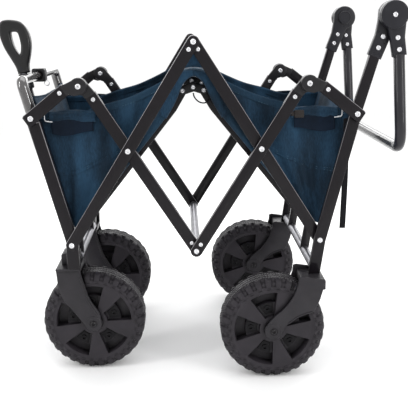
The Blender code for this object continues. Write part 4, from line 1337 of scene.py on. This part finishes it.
def pouch():
    """A gathered net pocket on the outside of the front panel."""
    z0, z1 = 0.392, 0.488

    def place(u, v):
        w = 2 * u - 1
        z = z0 + (z1 - z0) * v
        fat = 0.0500 * (sin(pi * (0.10 + 0.78 * v)) ** 0.8) * (1 - w ** 10)
        ripple = 0.0016 * sin(w * 38 + 3 * v) * v
        return (post_x(z) + 0.0120 - fat - ripple, w * 0.184, z)

    ob = patch("pocket_net", place, 60, 18, (0.36, 0.12), "net_v")
    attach(ob, "front_end")
    as_sheet(ob, (0.37, 0.13))
    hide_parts("front_pocket")

    def binding(u, v):
        x, y, z = place(u, 1.0)
        a = 2 * pi * v
        return (x - 0.0030 * cos(a), y, z + 0.0040 * sin(a))

    rim = patch("pocket_binding", binding, 60, 10, (0.36, 0.02), "web_v", 0.0006)
    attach(rim, "front_end")


pouch()


# ---------------------------------------------------------------- straps, rings and buckle
def corner_details(tag, s, end, m):
    seed = 41 + (s > 0) + 2 * (m > 0)
    x0, x1 = -0.332, -0.226

    # the crumpled flap folded over the rim
    def flap(u, v):
        x = x0 + (x1 - x0) * u
        z_top = 0.6430 + 0.004 * sin(3 * u)
        drop = 0.024 + 0.006 * wave((u * 4, 0, 0), 1.0, seed)
        z = z_top - drop * v
        out = 0.0030 + 0.0075 * sin(pi * min(1, v * 0.9)) + 0.0024 * wave((u * 9, v * 5, 0), 1.0, seed)
        return (m * -x, s * (TUB_Y + out), z)

    cloth = patch("flap_%s_%s" % (end, tag), flap, 36, 14, (0.11, 0.035), "navy_v")
    blend_upper(cloth)
    as_sheet(cloth, (0.11, 0.04))

    # painted shadow: a near-black cloth strip under the flap, where its shade falls
    def shadow_band(u, v):
        x = x0 + 0.004 + (x1 - x0 - 0.01) * u
        z = 0.6290 - (0.036 + 0.005 * sin(5 * u)) * v
        return (m * -x, s * (TUB_Y + 0.0060 + 0.0012 * wave((u * 5, v * 3, 0), 1.0, seed + 2)), z)

    dark = patch("facing_%s_%s" % (end, tag), shadow_band, 24, 12, (0.10, 0.04), "navy_shadow_v")
    blend_upper(dark)
    as_sheet(dark, (0.105, 0.045))

    # wire ring by the upper corner
    bm = bmesh.new()
    cx, cz = m * 0.3440, 0.6330
    loop = rounded([(cx - m * 0.002, s * 0.2085, cz + 0.012), (cx - m * 0.002, s * 0.2085, cz - 0.010),
                    (cx - m * 0.020, s * 0.2090, cz - 0.012)], 0.005, 6)
    sweep(bm, loop, 0.0014, n=10, rim=0.0004)
    make("wire_ring_%s_%s" % (end, tag), bm, "wire_v", end + "_end")


for tag, s in SIDES:
    for end, m in ENDS:
        corner_details(tag, s, end, m)


def buckle():
    bm = bmesh.new()
    block(bm, 0.2310, 0.2540, -0.2105, -0.2040, 0.6210, 0.6390, 0.0018, 0.003)
    block(bm, 0.2240, 0.2330, -0.2085, -0.2055, 0.6250, 0.6360, 0.0012, 0.002)
    ob = make("buckle_near", bm, "buckle_v")
    blend_upper(ob)


buckle()


def rear_strap():
    """A webbing tail that hangs from the rear corner."""
    def place(u, v):
        z = 0.618 - 0.264 * v
        lean = 0.0012 * sin(4 * v)
        return (0.3455 + lean + 0.0140 * u, -0.2105 + 0.0008 * sin(7 * v), z)

    ob = patch("strap_tail", place, 6, 60, (0.014, 0.264), "web_v", 0.0013)
    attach(ob, "rear_end")
    as_sheet(ob, (0.014, 0.266))
    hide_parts("rear_strap")


rear_strap()
